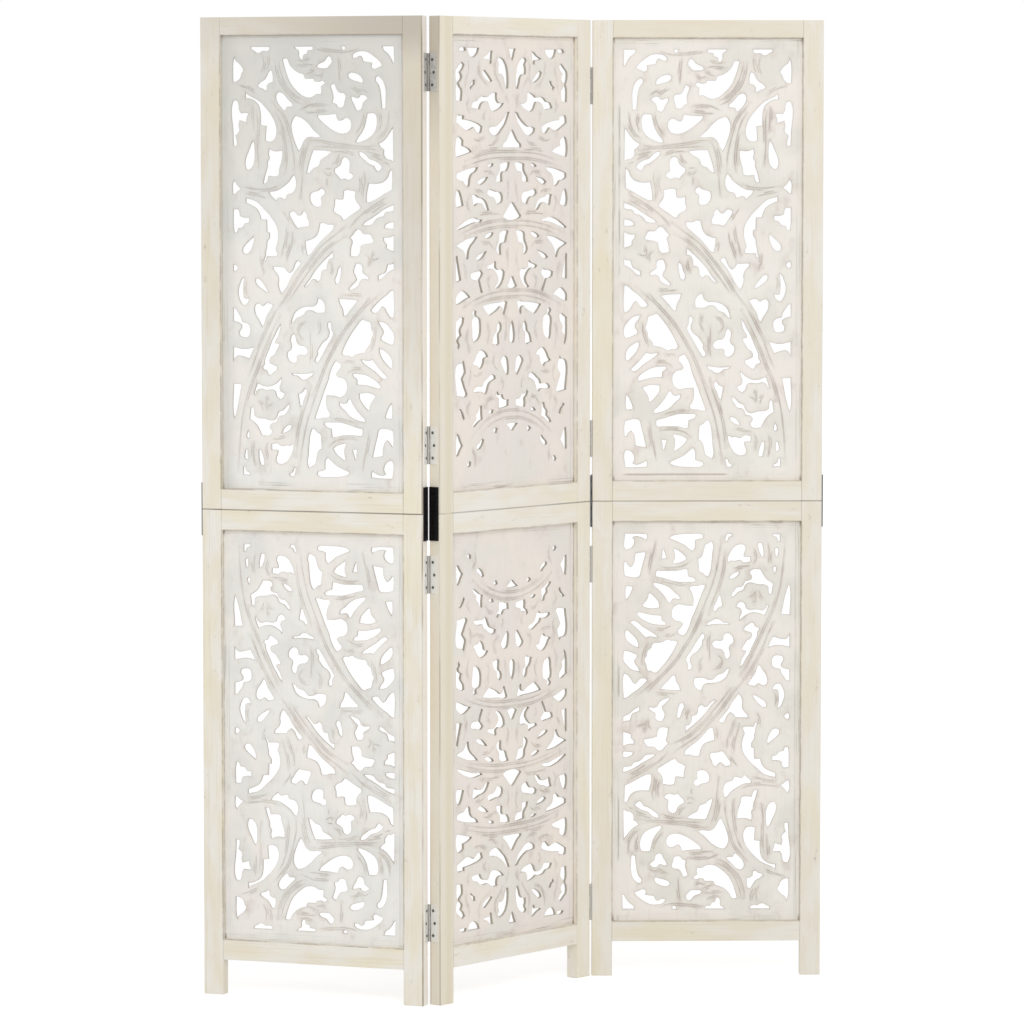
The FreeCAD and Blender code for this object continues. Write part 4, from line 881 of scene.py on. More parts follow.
# triangles between a rim and its openings, with edges along both sides and the bed of each cut
def fill(rim, loops, lines, extra=None):
    spots = []
    edges = []

    def chain(line, closed):
        count = sum(len(part) for part in spots)
        size = len(line)
        for number in range(size if closed else size - 1):
            edges.append((count + number, count + (number + 1) % size))
        spots.append(line)

    for loop in [rim] + loops:
        chain(loop, True)
    half = boardLook["grooveWide"] / 2
    for line in lines:
        across = sideways(line, False) * (taper(len(line)) * half)[:, None]
        for side in (line, (line + across)[1:-1], (line - across)[1:-1]):
            chain(side, False)
    if extra is not None:
        spots.append(extra)
    flat = [Vector(spot) for spot in np.vstack(spots)]
    made = delaunay_2d_cdt(flat, edges, [], 0, meshLook["thin"], False)
    places = np.array([spot[:] for spot in made[0]])
    faces = np.array([face for face in made[2] if len(face) == 3])
    return places, faces[~insideAny(places[faces].mean(1), loops)]


# each longer cut gets a shorter one beside it, on its two sides in turn
def withTwins(lines):
    twins = []
    for number, line in enumerate(lines):
        size = len(line)
        beside = line + sideways(line, False) * boardLook["twinGap"] * (-1) ** number
        start, end = boardLook["twinShares"][number % len(boardLook["twinShares"])]
        start, end = int(size * start), int(size * end)
        if size > boardLook["twinFrom"]:
            twins.append(beside[start:max(end, start + boardLook["twinLeast"])])
    return lines + twins


# a board lying flat: places across and up it, depth from its front, marks for its paint, and faces
def carve(kind, holes, grooves, wide, tall, outerEnd, innerEnd, thick):
    scale = np.array((wide, tall)) / fieldShares
    edge = boardLook["edge"][kind]
    loops = [curve(np.array(points) * scale, True) for points in holes]
    loops = [loop[::-1] if area(loop) < 0 else loop for loop in loops]
    lines = withTwins([curve(np.array(points) * scale, False) for points in grooves])
    side = boardLook["side"]
    rim = np.array(((-side, -outerEnd), (wide + side, -outerEnd), (wide + side, tall + innerEnd),
                    (-side, tall + innerEnd)))
    wider = [loop + sideways(loop, True) * edge for loop in loops]
    spots, levels, marks, softs, faces = [], [], [], [], []

    def add(places, level, mark, soft):
        start = sum(len(part) for part in spots)
        spots.append(places)
        levels.append(level)
        marks.append(np.broadcast_to(mark, len(places)))
        softs.append(np.broadcast_to(soft, len(places)))
        return start

    def swell(places):
        byHole = nearness(places, wider, boardLook["swellReach"])
        byLine = nearness(places, lines, boardLook["swellReach"])
        cut = grooveDepth(places, lines)
        rounded = np.maximum(byHole, byLine * boardLook["lineSwell"]) * boardLook["swellDeep"][kind]
        front = rounded + cut * boardLook["grooveDeep"]
        back = thick - cut * boardLook["grooveDeep"]
        return front, back, cut, np.maximum(byHole * boardLook["holeSoft"], byLine)

    places, triangles = fill(rim, wider, lines, fillers(rim, wider, lines))
    front, back, cut, soft = swell(places)
    faces += (triangles + add(places, front, cut, soft)).tolist()
    faces += (triangles[:, ::-1] + add(places, back, cut, soft)).tolist()
    for outer, loop in [(rim, None)] + list(zip(wider, loops)):
        front, back, cut, soft = swell(outer)
        rows = [add(outer, front, boardLook["edgeMark"], soft)]
        # the sides of an opening carry high marks, which the paint turns into painted shade
        if loop is not None:
            rows.append(add(loop, front + edge, boardLook["wallMarks"][0], soft))
            rows.append(add(loop, back - edge, boardLook["wallMarks"][1], 0.0))
        rows.append(add(outer, back, boardLook["edgeMark"], soft))
        size = len(outer)
        for low, high in zip(rows, rows[1:]):
            for corner in range(size):
                following = (corner + 1) % size
                faces.append([low + corner, low + following, high + following, high + corner])
    return np.vstack(spots), np.concatenate(levels), np.concatenate(marks), np.concatenate(softs), faces


def boardMaterial(name, wide, tall, panel, half):
    look = Look(name, boardLook["fades"])
    across, up = look.split(look.node("ShaderNodeUVMap", {"uv_map": "board"}, {}))[:2]
    chance = look.pieceChance() * boardLook["chance"]
    for kind, (stretchAcross, stretchUp, shift, scale, detail, roughness) in boardLook["noises"].items():
        spot = look.join(across * stretchAcross, up * stretchUp, chance + shift)
        look.noises[kind] = look.noise(spot, scale, detail, roughness)

    # whitewash in warm and cool clouds, with the grain showing through
    look.base = look.mix(look.patch("clouds", "cool"), boardLook["warm"][panel], boardLook["cool"][panel])
    look.coat(look.patch("leaves", "leafy"), boardLook["leafy"][panel])
    look.coat(look.patch("streaks", "grain"), boardLook["grain"])
    look.coat(look.patch("smears", "smear"), boardLook["smear"])

    # worn and scraped borders, and painted shade in the seam where the board meets the frame
    toSide = (across - boardLook["tucked"]).least(wide - boardLook["tucked"] - across)
    toEnd = (up - boardLook["tucked"]).least(tall - boardLook["tucked"] - up)
    marks = look.fade(toSide, "nearSide") * look.patch("sideRubs", "sideRub")
    marks = marks.most(look.fade(toEnd, "nearEnd") * look.patch("endRubs", "endRub"))
    marks = marks.most(look.fade(abs(toSide - boardLook["ruled"]), "ruledLine"))
    if panel == "right":
        scrape = look.fade(abs(across - boardLook["border"]), "sideScrape")
        marks = marks.most(scrape * look.patch("clouds", "sideScrapePatch"))
    if (panel, half) == ("right", "lower"):
        scuffed = look.fade(tall - boardLook["tucked"] - up, "topScuff")
        marks = marks.most(scuffed * look.patch("smears", "topScuffPatch"))
    look.coat(marks * look.patch("clouds", "patchy"), boardLook["grimeAndShade"])
    if (panel, half) == ("right", "upper"):
        start, end = boardLook["scrapeReach"]
        scrape = look.fade(abs(up - boardLook["border"]), "lowScrape")
        scrape = scrape * look.patch("scuffs", "lowScrapePatch")
        toMiddle = abs(across - wide * boardLook["scrapeMiddle"])
        look.coat(scrape * look.ramp(toMiddle, wide * start, wide * end, 1.0, 0.0), boardLook["bare"])
    # painted shade in the seam under the frame, in the grime-and-shade colour
    seamShade = look.fade(toSide.least(toEnd), "seamShade") * look.patch("scuffs", "seamShadePatch")
    look.coat(seamShade, boardLook["grimeAndShade"])

    # rubbed cuts that show bare wood and grey painted shade, the painted shade beside them, painted shade on
    # the sides of the openings and in the corners
    cutMarks = look.marked("carve")
    dull = look.fade(look.marked("soft"), "soft") * look.patch("smears", "softPatch")
    look.coat(dull * boardLook["shadowOf"][panel], boardLook["shadow"])
    # the cuts are coated grey, painted shade, and on the centre and right boards partly brown, bare wood
    # rubbed through
    stroke = boardLook["cutShade"]
    if panel != "left":
        stroke = look.mix(look.patch("leaves", "bareStroke"), boardLook["cutShade"], boardLook["bare"])
    rubbedAndShaded = look.fade(cutMarks, "groove") * look.patch("rubs", "grooveRub")
    rubbedAndShaded = rubbedAndShaded * look.patch("scuffs", "grooveScuff")
    look.coat(rubbedAndShaded * boardLook["rubAndShadeOf"][panel], stroke)
    # the sides of the openings and the edges round them are painted dark, painted shade
    look.coat(look.fade(cutMarks, "wall") * boardLook["wallShadeOf"][panel], boardLook["wall"])
    # painted shade in the corners of the opening
    look.coat(look.fade(toSide, "cornerShadeSide") * look.fade(toEnd, "cornerShadeEnd"), boardLook["grimeAndShade"])
    # the upper left board is painted darker towards its top and along its outer side, painted shade
    if (panel, half) == ("left", "upper"):
        paintedShade = look.ramp(up, tall * boardLook["paintedShadeFrom"], tall, *boardLook["paintedShadeAmounts"])
        look.coat(paintedShade, boardLook["paintedShadeTone"])
        look.coat(look.fade(across, "outerSideShade"), boardLook["paintedShadeTone"])
    look.set(Base_Color=look.base, Roughness=boardLook["roughness"])
    ofStreaks, ofScuffs = boardLook["bumpMix"]
    height = look.noises["streaks"] * ofStreaks + look.noises["scuffs"] * ofScuffs
    look.set(Normal=look.bump(height, *boardLook["bump"]))
    return look.material


carved = {}    # the two side boards of a height are one shape, carved once


def board(panel, half):
    node = "%s_%s_carving" % (panel, half)
    low, high = reach(node, panel)
    ends = (boardLook["outerEnd"], boardLook["innerEnd"])
    if half == "lower":
        ends = ends[::-1]
    wide = high[0] - low[0] - 2 * boardLook["side"]
    tall = high[2] - low[2] - sum(ends)
    kind = "centre" if panel == "centre" else "side"
    if (kind, half) not in carved:
        holes, grooves = (centreHoles, centreGrooves) if kind == "centre" else (sideHoles, sideGrooves)
        carved[kind, half] = carve(kind, holes, grooves, wide, tall, *ends, high[1] - low[1])
    spots, levels, marks, softs, faces = carved[kind, half]
    across = spots[:, 0] + boardLook["side"]
    if panel == "left":
        across = high[0] - low[0] - across
    up = spots[:, 1] + ends[0]
    if half == "upper":
        up = high[2] - low[2] - up
    places = inRoom(panel, across + low[0], low[1] + levels, up + low[2])
    mesh = bpy.data.meshes.new(node + "_cut")
    mesh.from_pydata(places.tolist(), [], faces)
    uv = mesh.uv_layers.new(name="board")
    corners = np.zeros(len(mesh.loops), int)
    mesh.loops.foreach_get("vertex_index", corners)
    uv.data.foreach_set("uv", np.column_stack((across, up))[corners].ravel())
    for name, values in (("carve", marks), ("soft", softs)):
        mesh.attributes.new(name, "FLOAT", "POINT").data.foreach_set("value", values.astype(np.float32))
    smoothMesh(mesh)
    mesh.materials.append(boardMaterial(node + "Wood", high[0] - low[0], high[2] - low[2], panel, half))
    addPiece(node + "_cut", mesh, panel, node)
    return len(mesh.polygons)


for panel in panels:
    for half in halves:
        print("board", panel, half, board(panel, half), "faces")


# whitewashed frames: tones, lengths in metres, and shares
frameLook = {
    "wash": shade(239, 235, 226), "cream": shade(235, 227, 209), "yellow": shade(236, 227, 198),
    "grain": shade(204, 191, 166), "dirtAndShade": shade(140, 122, 98), "joint": shade(70, 58, 46),
    "paintedShadeTone": shade(193, 184, 170), "ochre": shade(222, 211, 184), "paintedLight": shade(252, 247, 240),
    "paintedDark": shade(214, 207, 195), "shaded": shade(150, 138, 118), "roughness": 0.55,
    "edge": 0.0009, "railEdge": 0.0004, "edgeSteps": 2, "edgeAngle": 40, "weld": 1e-5,
    "shoulder": 0.15, "shoulderFade": 0.001, "railFade": 4, "stripePlace": 0.65, "stripeFade": 0.02,
    "paintedShadeAcross": (0.5, 1.15), "paintedLightShare": 0.2, "paintedDarkShare": 0.2,
    "chance": 17.0, "bumpMix": (0.6, 0.4), "bump": (0.35, 0.0007),
    "noises": {    # stretch along and across the wood, detail, roughness
        "grain": (7, 330, 4.0, 0.62), "strokes": (11, 42, 3.0, 0.5),
        "patches": (5, 16, 2.0, 0.5), "spots": (36, 70, 4.0, 0.65),
    },
    "fades": {    # from, to, and the amount at both where it isn't 0 and 1
        "wash": (0.36, 0.64), "yellow": (0.5, 0.7, 0.0, 0.6),
        "grain": (0.5, 0.78, 0.0, 0.34), "dirtAndShade": (0.63, 0.82, 0.0, 0.6),
        "faced": (0.0004, 0.003, 1.0, 0.25),
        "line": (0.0004, 0.0024, 0.62, 0.0), "linePatch": (0.35, 0.6, 0.25, 1.0),
        "joint": (0.0004, 0.0017, 0.75, 0.0), "jointPatch": (0.4, 0.6, 0.7, 1.0),
        "paintedShade": (0.85, 1.3, 0.0, 0.42), "paintedShadeTop": (1.56, 1.63, 0.0, 0.42),
        "litSide": (0.0002, 0.0008, 0.85, 0.0), "leftCornerPatch": (0.42, 0.58, 0.25, 1.0),
        "leftCorner": (0.0013, 0.003, 0.8, 0.0), "leftCornerFront": (0.0006, 0.002, 1.0, 0.0),
        "stripe": (0.003, 0.012, 0.95, 0.5), "centreCornerPatch": (0.42, 0.58, 0.2, 1.0),
        "centreCorner": (0.0012, 0.0026, 0.7, 0.0), "centreCornerFront": (0.0006, 0.0018, 1.0, 0.0),
        "shadedSide": (0.0001, 0.0008, 1.0, 0.0), "shadedTop": (1.38, 1.62, 0.1, 0.7),
        "stain": (0.0006, 0.002, 1.0, 0.0), "stainBack": (0.001, 0.0032, 1.0, 0.0),
        "stainLow": (0.12, 0.4, 0.85, 0.1), "ochreTop": (1.5, 1.6, 0.0, 0.4),
    },
}


def frameMaterial(name, panel, upright):
    look = Look(name, frameLook["fades"])
    along, away = axes[panel]
    low, high = reach(panel + "_upper_carving", panel)
    x, y, z = look.split(look.objectPlace())
    across = x * along[0] + y * along[1]
    deep = x * away[0] + y * away[1]
    shift = look.pieceChance() * frameLook["chance"]
    length, width = (z, across) if upright else (across, z)
    for kind, (stretchAlong, stretchAcross, detail, roughness) in frameLook["noises"].items():
        spot = look.join(length * stretchAlong + shift, width * stretchAcross, deep * stretchAcross)
        look.noises[kind] = look.noise(spot, 1.0, detail, roughness)

    def between(start, end):
        half = (end - start) / 2
        return look.ramp(abs(z - (start + end) / 2), half, half + frameLook["shoulderFade"],
                         1.0, frameLook["shoulder"])

    look.base = look.mix(look.patch("strokes", "wash"), frameLook["cream"], frameLook["wash"])
    look.coat(look.patch("patches", "yellow"), frameLook["yellow"])
    look.coat(look.patch("grain", "grain"), frameLook["grain"])
    look.coat(look.patch("spots", "dirtAndShade"), frameLook["dirtAndShade"])

    # dirt and painted shade in the line round each board, where the frame steps down to it
    front, back = [corner[1] for corner in reach(panel + "_upper_left_stile", panel)]
    faced = look.fade((deep - front).least(back - deep), "faced")
    firstEdge, lastEdge = low[0] + boardLook["tucked"], high[0] - boardLook["tucked"]
    toEdge = abs(across - firstEdge).least(abs(across - lastEdge))
    openings = []
    for half in halves:
        openings.append((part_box("%s_%s_bottom_rail" % (panel, half))[1].z,
                         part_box("%s_%s_top_rail" % (panel, half))[0].z))
    if upright:
        faced = faced * between(*openings[0]).most(between(*openings[1]))
    else:
        toEdge = toEdge * frameLook["railFade"]
        for end in openings[0] + openings[1]:
            toEdge = toEdge.least(abs(z - end))
    look.coat(look.fade(toEdge, "line") * look.patch("spots", "linePatch") * faced, frameLook["dirtAndShade"])
    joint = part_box(panel + "_lower_left_stile")[1].z
    look.coat(look.fade(abs(z - joint), "joint") * look.patch("patches", "jointPatch"), frameLook["joint"])

    # what sets each panel apart: the left painted darker towards its top as painted shade, an ochre stripe
    # at the fold, the centre painted lighter as painted light and the right painted darker as painted shade
    # the left frame is painted darker towards its top, painted shade
    if panel == "left":
        paintedShade = look.fade(z, "paintedShade") + look.fade(z, "paintedShadeTop")
        paintedShade = paintedShade * look.ramp(across, low[0], high[0], *frameLook["paintedShadeAcross"])
        look.coat(paintedShade, frameLook["paintedShadeTone"])
    # the side face of the left panel's stile at the fold is painted lighter, a painted highlight, with a
    # dark line along its front edge
    if panel == "left" and upright:
        toFold = reach("left_upper_right_stile", "left")[1][0] - across
        look.coat(look.fade(toFold, "litSide"), frameLook["paintedLight"])
        corner = look.fade(toFold, "leftCorner") * look.fade(deep - front, "leftCornerFront")
        look.coat(corner * look.patch("patches", "leftCornerPatch"), frameLook["dirtAndShade"])
    if panel == "centre" and upright:
        start, end = [corner[0] for corner in reach("centre_upper_left_stile", "centre")]
        toFold = across - start
        middle = start + (end - start) * frameLook["stripePlace"]
        onStile = look.ramp(across, end, end + frameLook["stripeFade"], 1.0, 0.0)
        look.coat(look.fade(abs(across - middle), "stripe") * onStile, frameLook["ochre"])
        look.coat(look.fade(toFold, "shadedSide") * look.fade(z, "shadedTop"), frameLook["shaded"])
        corner = look.fade(toFold, "centreCorner") * look.fade(deep - front, "centreCornerFront")
        look.coat(corner * look.patch("patches", "centreCornerPatch"), frameLook["dirtAndShade"])
        stain = look.fade(toFold, "stain") * look.fade(back - deep, "stainBack")
        look.coat(stain * look.fade(z, "stainLow"), frameLook["dirtAndShade"])
    # the centre frame is painted lighter all over, painted light
    if panel == "centre":
        look.coat(frameLook["paintedLightShare"], frameLook["paintedLight"])
    # the right frame is painted darker all over, painted shade
    if panel == "right":
        look.coat(frameLook["paintedDarkShare"], frameLook["paintedDark"])
    if panel == "right" and not upright:
        look.coat(look.fade(z, "ochreTop"), frameLook["ochre"])
    look.set(Base_Color=look.base, Roughness=frameLook["roughness"])
    ofGrain, ofStrokes = frameLook["bumpMix"]
    height = look.noises["grain"] * ofGrain + look.noises["strokes"] * ofStrokes
    look.set(Normal=look.bump(height, *frameLook["bump"]))
    return look.material


# edges are rounded by modifiers, which leave the CAD mesh as it is
def soften(node, width):
    weld = nodes[node].modifiers.new("weld", "WELD")
    weld.merge_threshold = frameLook["weld"]
    bevel = nodes[node].modifiers.new("edges", "BEVEL")
    bevel.width = width
    bevel.segments = frameLook["edgeSteps"]
    bevel.limit_method = "ANGLE"
    bevel.angle_limit = math.radians(frameLook["edgeAngle"])
    nodes[node].modifiers.new("normals", "WEIGHTED_NORMAL")


def paint(node, material):
    mesh = nodes[node].data
    mesh.materials.clear()
    mesh.materials.append(material)


for panel in panels:
    stileWood = frameMaterial(panel + "StileWood", panel, True)
    railWood = frameMaterial(panel + "RailWood", panel, False)
    for half in halves:
        for member, wood, edge in (("stile", stileWood, "edge"), ("rail", railWood, "railEdge")):
            for place in (("left", "right") if member == "stile" else ("top", "bottom")):
                node = "%s_%s_%s_%s" % (panel, half, place, member)
                paint(node, wood)
                soften(node, frameLook[edge])
print("frames painted")


# zinc hinges, steel screws and black lacquer
metalLook = {
    "zinc": {"light": shade(208, 206, 201), "dark": shade(180, 178, 172),
             "metallic": 0.3, "roughness": 0.36, "gloss": 0.5},
    "steel": {"light": shade(118, 116, 113), "dark": shade(80, 78, 76),
              "metallic": 0.7, "roughness": 0.4, "gloss": 0.5},
    "lacquer": {"light": shade(20, 18, 18), "dark": shade(34, 31, 30),
                "metallic": 0.0, "roughness": 0.3, "gloss": 0.15},
    "speckle": (260.0, 4.0, 0.6), "speckleFade": (0.4, 0.72), "bump": (0.15, 0.0003),
    "cloud": (60.0, 3.0, 0.5), "cloudFade": (0.3, 0.7), "rougher": 0.16,
    "crease": 0.0026, "creaseFade": (0.0003, 0.0012, 0.8, 0.0), "creaseShade": shade(84, 80, 74),
    "paintedReflection": shade(246, 244, 238), "paintedReflectionFade": (1.1, 1.4, 0.75, 0.0),
}


# round a hinge's pin there is painted shade in the crease, and all but the top hinges are painted brighter,
# a painted reflection
def metalMaterial(name, finish, pin=None):
    look = Look(name)
    place = look.objectPlace()
    speckle = look.noise(place, *metalLook["speckle"])
    cloud = look.noise(place, *metalLook["cloud"])
    look.base = look.mix(look.ramp(speckle, *metalLook["speckleFade"]), finish["light"], finish["dark"])
    if pin is not None:
        x, y, z = look.split(place)
        x, y = x - pin[0], y - pin[1]
        toPin = (x * x + y * y).root()
        look.coat(look.ramp(z, *metalLook["paintedReflectionFade"]), metalLook["paintedReflection"])
        look.coat(look.ramp(abs(toPin - metalLook["crease"]), *metalLook["creaseFade"]), metalLook["creaseShade"])
    look.set(Base_Color=look.base, Metallic=finish["metallic"], Specular_IOR_Level=finish["gloss"])
    roughest = finish["roughness"] + metalLook["rougher"]
    look.set(Roughness=look.ramp(cloud, *metalLook["cloudFade"], finish["roughness"], roughest))
    look.set(Normal=look.bump(speckle, *metalLook["bump"]))
    return look.material


screwSteel = metalMaterial("darkSteel", metalLook["steel"])
blackLacquer = metalMaterial("blackLacquer", metalLook["lacquer"])
pins = {joint["name"]: np.array(joint["pos_m"][:2]) for joint in frame["joints"]}
for fold in pins:
    zinc = metalMaterial(fold + "Zinc", metalLook["zinc"], pins[fold].tolist())
    for node in nodes:
        if node.startswith(fold) and node.endswith("_leaves"):
            paint(node, zinc)
print("hinges painted")


# black plates with sunk seats for their screws
plateLook = {"corner": 0.0012, "cornerSteps": 7, "edge": 0.0004, "seat": 0.0033, "seatSteps": 24,
             "sunk": 0.0006, "rows": (-0.033, -0.015, 0.015, 0.033)}


def roundedRim(wide, tall, radius, inset):
    rim = []
    right, top = wide - radius, tall - radius
    middles = ((right, radius), (right, top), (radius, top), (radius, radius))
    for quarter, (x, y) in enumerate(middles):
        for share in np.linspace(0, 1, plateLook["cornerSteps"]):
            angle = (quarter - 1 + share) * math.pi / 2
            rim.append((x + (radius - inset) * math.cos(angle), y + (radius - inset) * math.sin(angle)))
    return np.array(rim)


def ringAt(middle, radius):
    angles = np.arange(plateLook["seatSteps"]) * math.tau / plateLook["seatSteps"]
    return np.column_stack((middle[0] + radius * np.cos(angles), middle[1] + radius * np.sin(angles)))


def plate(panel, side):
    node = "%s_%s_plate" % (panel, side)
    low, high = reach(node, panel)
    thick, wide, tall = high - low
    rim = roundedRim(wide, tall, plateLook["corner"], 0)
    face = roundedRim(wide, tall, plateLook["corner"], plateLook["edge"])
    seats = [ringAt((wide / 2, tall / 2 + row), plateLook["seat"]) for row in plateLook["rows"]]
    places, faces = fill(face, seats, [])
    faces = faces.tolist()
    spots = [(u, v, thick) for u, v in places]

    def add(ring, level):
        spots.extend((u, v, level) for u, v in ring)
        return len(spots) - len(ring)

    def wall(ring, other, top, bottom):
        size = len(ring)
        start = add(ring, top)
        end = add(other, bottom)
        for number in range(size):
            following = (number + 1) % size
            faces.append([start + number, start + following, end + following, end + number])
        return [end + number for number in range(size)]

    wall(face, rim, thick, thick - plateLook["edge"])
    faces.append(wall(rim, rim, thick - plateLook["edge"], 0))
    for seat in seats:
        faces.append(wall(seat, seat, thick, thick - plateLook["sunk"]))
    deep, up, out = np.array(spots).T
    across = high[0] - out if side == "left" else low[0] + out
    mesh = bpy.data.meshes.new(node + "_strip")
    mesh.from_pydata(inRoom(panel, across, deep + low[1], up + low[2]).tolist(), [], faces)
    smoothMesh(mesh)
    mesh.materials.append(blackLacquer)
    addPiece(node + "_strip", mesh, panel, node)


for panel in panels:
    plate(panel, "left")
    plate(panel, "right")
print("plates made")


# screws: sizes in metres, and shares of the head's radius or height
screwLook = {
    "wide": 0.0052, "ringSteps": 20, "slotHalf": 0.14, "slotReach": 0.62, "tall": 0.12,
    "crown": 1.25, "crownFall": 0.5, "slotFloor": 0.1,
    "pitch": 0.021, "leafStart": 0.0023, "leafReach": 0.015, "leafFace": 0.001, "hingeTall": 0.063,
    "leafShares": {-1: 0.4, 0: 0.62, 1: 0.4}, "plateSeed": 7, "join": 1e-7,
}


# low domed head with a crossed slot
def screwHead():
    radius = screwLook["wide"] / 2
    slotHalf = radius * screwLook["slotHalf"]
    slotReach = radius * screwLook["slotReach"]
    height = radius * screwLook["tall"]
    steps = screwLook["ringSteps"]
    ring = [(radius * math.cos(a), radius * math.sin(a)) for a in np.arange(steps) * math.tau / steps]
    cross = []
    for quarter in range(4):
        turn = quarter * math.pi / 2
        for x, y in ((slotReach, -slotHalf), (slotReach, slotHalf), (slotHalf, slotHalf)):
            cross.append((x * math.cos(turn) - y * math.sin(turn), x * math.sin(turn) + y * math.cos(turn)))
    size = len(cross)
    edges = [(n, (n + 1) % steps) for n in range(steps)]
    edges += [(steps + n, steps + (n + 1) % size) for n in range(size)]
    flat = [Vector(spot) for spot in ring + cross]
    made = delaunay_2d_cdt(flat, edges, [], 0, screwLook["join"], False)
    crown, fall = screwLook["crown"], screwLook["crownFall"]
    spots = [(x, y, height * (crown - fall * (x * x + y * y) / radius ** 2)) for x, y in made[0]]
    faces = []
    for face in made[2]:
        middle = np.array([made[0][n][:] for n in face]).mean(0)[None]
        if not inside(middle, np.array(cross))[0]:
            faces.append(list(face))
    low = len(spots)
    spots += [(x, y, height * screwLook["slotFloor"]) for x, y in cross]
    faces += [[steps + n, steps + (n + 1) % size, low + (n + 1) % size, low + n] for n in range(size)]
    faces.append([low + n for n in range(size)])
    foot = len(spots)
    spots += [(x, y, 0) for x, y in ring]
    faces += [[n, (n + 1) % steps, foot + (n + 1) % steps, foot + n] for n in range(steps)]
    mesh = bpy.data.meshes.new("screwHead")
    mesh.from_pydata(spots, [], faces)
    turnOut(mesh)
    return bpy.data.objects.new("screwHead", mesh)


# geometry nodes that stand a screw head on each point, facing its way and turned at random
def screwNodes():
    group = bpy.data.node_groups.new("screwSet", "GeometryNodeTree")
    sockets = group.interface
    sockets.new_socket(name="Geometry", in_out="INPUT", socket_type="NodeSocketGeometry")
    inputs = {}
    for name, kind in (("Head", "Object"), ("Steel", "Material"), ("Seed", "Int")):
        made = sockets.new_socket(name=name, in_out="INPUT", socket_type="NodeSocket" + kind)
        inputs[name] = made.identifier
    sockets.new_socket(name="Geometry", in_out="OUTPUT", socket_type="NodeSocketGeometry")
    make = group.nodes.new
    start = make("NodeGroupInput")
    end = make("NodeGroupOutput")
    facing = make("GeometryNodeInputNamedAttribute")
    facing.data_type = "FLOAT_VECTOR"
    facing.inputs["Name"].default_value = "facing"
    aim = make("FunctionNodeAlignRotationToVector")
    aim.axis = "Z"
    spin = make("FunctionNodeRandomValue")
    spin.data_type = "FLOAT_VECTOR"
    spin.inputs["Max"].default_value = (0, 0, math.tau)
    spin.inputs["Min"].default_value = (0, 0, 0)
    toTurn = make("FunctionNodeEulerToRotation")
    turn = make("FunctionNodeRotateRotation")
    turn.rotation_space = "LOCAL"
    info = make("GeometryNodeObjectInfo")
    place = make("GeometryNodeInstanceOnPoints")
    real = make("GeometryNodeRealizeInstances")
    dress = make("GeometryNodeSetMaterial")
    wires = (
        (facing, "Attribute", aim, "Vector"), (start, "Seed", spin, "Seed"),
        (spin, "Value", toTurn, "Euler"), (aim, "Rotation", turn, "Rotation"),
        (toTurn, "Rotation", turn, "Rotate By"),
        (start, "Head", info, "Object"), (start, "Geometry", place, "Points"),
        (info, "Geometry", place, "Instance"), (turn, "Rotation", place, "Rotation"),
        (place, "Instances", real, "Geometry"), (real, "Geometry", dress, "Geometry"),
        (start, "Steel", dress, "Material"), (dress, "Geometry", end, "Geometry"),
    )
    for source, output, target, slot in wires:
        group.links.new(source.outputs[output], target.inputs[slot])
    return group, inputs


screwGroup, screwInputs = screwNodes()
head = screwHead()
bpy.context.scene.collection.objects.link(head)


def screwSet(name, spots, facings, steel, seed, panel, slotName):
    mesh = bpy.data.meshes.new(name)
    mesh.from_pydata(spots, [], [])
    mesh.attributes.new("facing", "FLOAT_VECTOR", "POINT").data.foreach_set("vector", np.ravel(facings))
    points = bpy.data.objects.new(name + "Points", mesh)
    bpy.context.scene.collection.objects.link(points)
    modifier = points.modifiers.new("screws", "NODES")
    modifier.node_group = screwGroup
    for key, item in (("Head", head), ("Steel", steel), ("Seed", seed)):
        modifier[screwInputs[key]] = item
    bpy.context.view_layer.update()
    solid = points.evaluated_get(bpy.context.evaluated_depsgraph_get())
    screws = bpy.data.meshes.new_from_object(solid)
    bpy.data.objects.remove(points)
    addPiece(name, screws, panel)
    print(name, len(spots))


# each hinge leaf lies against the edge of its stile, on one side of the pin line
leafSides = {
    ("left_fold", "left"): (-1, -1), ("left_fold", "centre"): (1, -1),
    ("right_fold", "centre"): (-1, 1), ("right_fold", "right"): (1, 1),
}
hingeScrews = {panel: ([], []) for panel in panels}
for (fold, panel), (side, depth) in leafSides.items():
    along, away = axes[panel]
    spots, facings = hingeScrews[panel]
    onLeaf = pins[fold] + along * side * screwLook["leafFace"]
    for half in halves:
        low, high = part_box("%s_%s_%s_leaves" % (fold, half, panel))
        for middle in (low.z + screwLook["hingeTall"] / 2, high.z - screwLook["hingeTall"] / 2):
            for number, share in screwLook["leafShares"].items():
                inset = screwLook["leafStart"] + screwLook["leafReach"] * share
                spots.append((*(onLeaf + away * depth * inset), middle + number * screwLook["pitch"]))
                facings.append((*(-along * side), 0))

for number, panel in enumerate(panels):
    screwSet(panel + "HingeScrews", *hingeScrews[panel], screwSteel, number, panel, "hinge_steel")
    along, away = axes[panel]
    spots, facings = [], []
    for side, out in (("left", -1), ("right", 1)):
        low, high = reach("%s_%s_plate" % (panel, side), panel)
        edge = low[0] + plateLook["sunk"] if side == "left" else high[0] - plateLook["sunk"]
        flat = along * edge + away * (low[1] + high[1]) / 2
        for row in plateLook["rows"]:
            spots.append((*flat, (low[2] + high[2]) / 2 + row))
            facings.append((*(along * out), 0))
    screwSet(panel + "PlateScrews", spots, facings, blackLacquer, screwLook["plateSeed"] + number, panel,
             "plate_black")
bpy.data.objects.remove(head)


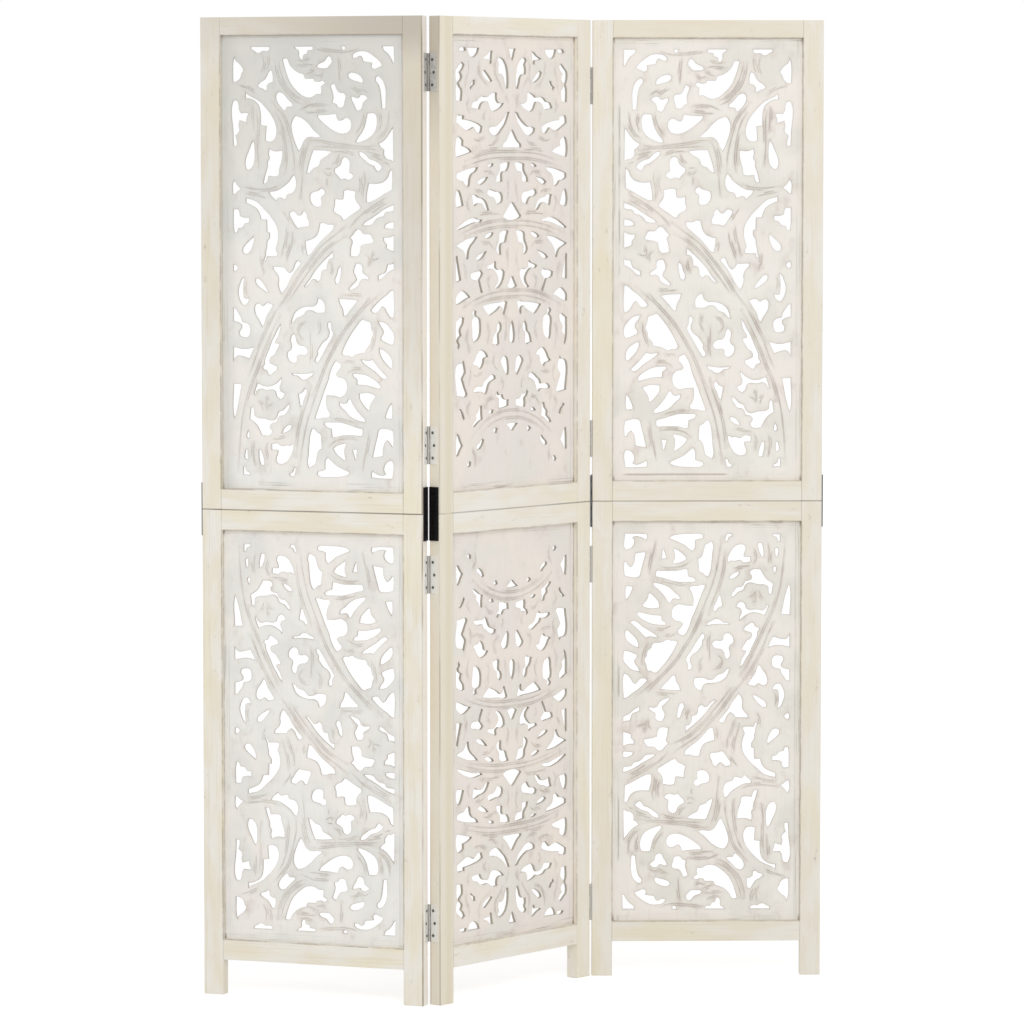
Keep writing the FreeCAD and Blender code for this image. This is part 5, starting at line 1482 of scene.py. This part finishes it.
# floor, light and white surroundings
stageLook = {
    "floor": 60.0, "floorColour": (0.9, 0.9, 0.9, 1), "grit": 40.0, "gritFade": (0.3, 0.7, 0.85, 0.95),
    "glow": 0.34, "white": (1, 1, 1, 1), "sky": 0.768, "shownSky": 1.0,
    "lamp": (0.6, -5.1, 3.6), "lampAim": (0, 0, 0.8), "lampWide": 2.6, "lampPower": 74,
}


# 1 for the rays that see the surroundings: straight, reflected or through glass
def shownWhite(tree):
    rays = tree.nodes.new("ShaderNodeLightPath")
    seen = Flow(tree, rays.outputs["Is Camera Ray"])
    for kind in ("Is Glossy Ray", "Is Transmission Ray"):
        seen = seen.most(Flow(tree, rays.outputs[kind]))
    return seen


# plain is what lights the screen, and shown is what is seen of the surroundings
def mixShown(tree, plain, shown, output):
    pick = tree.nodes.new("ShaderNodeMixShader")
    plug(tree, pick.inputs["Fac"], shownWhite(tree))
    tree.links.new(plain, pick.inputs[1])
    tree.links.new(shown, pick.inputs[2])
    tree.links.new(pick.outputs["Shader"], tree.nodes[output].inputs["Surface"])


half = stageLook["floor"] / 2
floorMesh = bpy.data.meshes.new("floor")
floorMesh.from_pydata([(-half, -half, 0), (half, -half, 0), (half, half, 0), (-half, half, 0)], [],
                      [(0, 1, 2, 3)])
floor = bpy.data.objects.new("floor", floorMesh)
bpy.context.scene.collection.objects.link(floor)
floorPaint = Look("floorPaint")
grit = floorPaint.noise(floorPaint.objectPlace(), stageLook["grit"])
floorPaint.set(Base_Color=stageLook["floorColour"], Roughness=floorPaint.ramp(grit, *stageLook["gritFade"]))
glow = floorPaint.node("ShaderNodeEmission", {},
                       {"Color": stageLook["white"], "Strength": stageLook["glow"]})
glowing = floorPaint.tree.nodes.new("ShaderNodeAddShader")
matt = floorPaint.shader.outputs[0]
floorPaint.tree.links.new(matt, glowing.inputs[0])
floorPaint.tree.links.new(glow.socket, glowing.inputs[1])
mixShown(floorPaint.tree, matt, glowing.outputs[0], "Material Output")
floorMesh.materials.append(floorPaint.material)

lampData = bpy.data.lights.new("key", "AREA")
lampData.shape = "DISK"
lampData.size = stageLook["lampWide"]
lampData.energy = stageLook["lampPower"]
lamp = bpy.data.objects.new("key", lampData)
lamp.location = stageLook["lamp"]
aim = Vector(stageLook["lampAim"]) - Vector(stageLook["lamp"])
lamp.rotation_euler = aim.to_track_quat("-Z", "Y").to_euler()
bpy.context.scene.collection.objects.link(lamp)

world = bpy.data.worlds.new("surroundings")
bpy.context.scene.world = world
world.use_nodes = True
sky = world.node_tree.nodes["Background"]
shownSky = world.node_tree.nodes.new("ShaderNodeBackground")
for background, strength in ((sky, stageLook["sky"]), (shownSky, stageLook["shownSky"])):
    background.inputs["Color"].default_value = stageLook["white"]
    background.inputs["Strength"].default_value = strength
mixShown(world.node_tree, sky.outputs["Background"], shownSky.outputs["Background"], "World Output")
bpy.context.scene.view_settings.view_transform = "Standard"
print("stage lit")
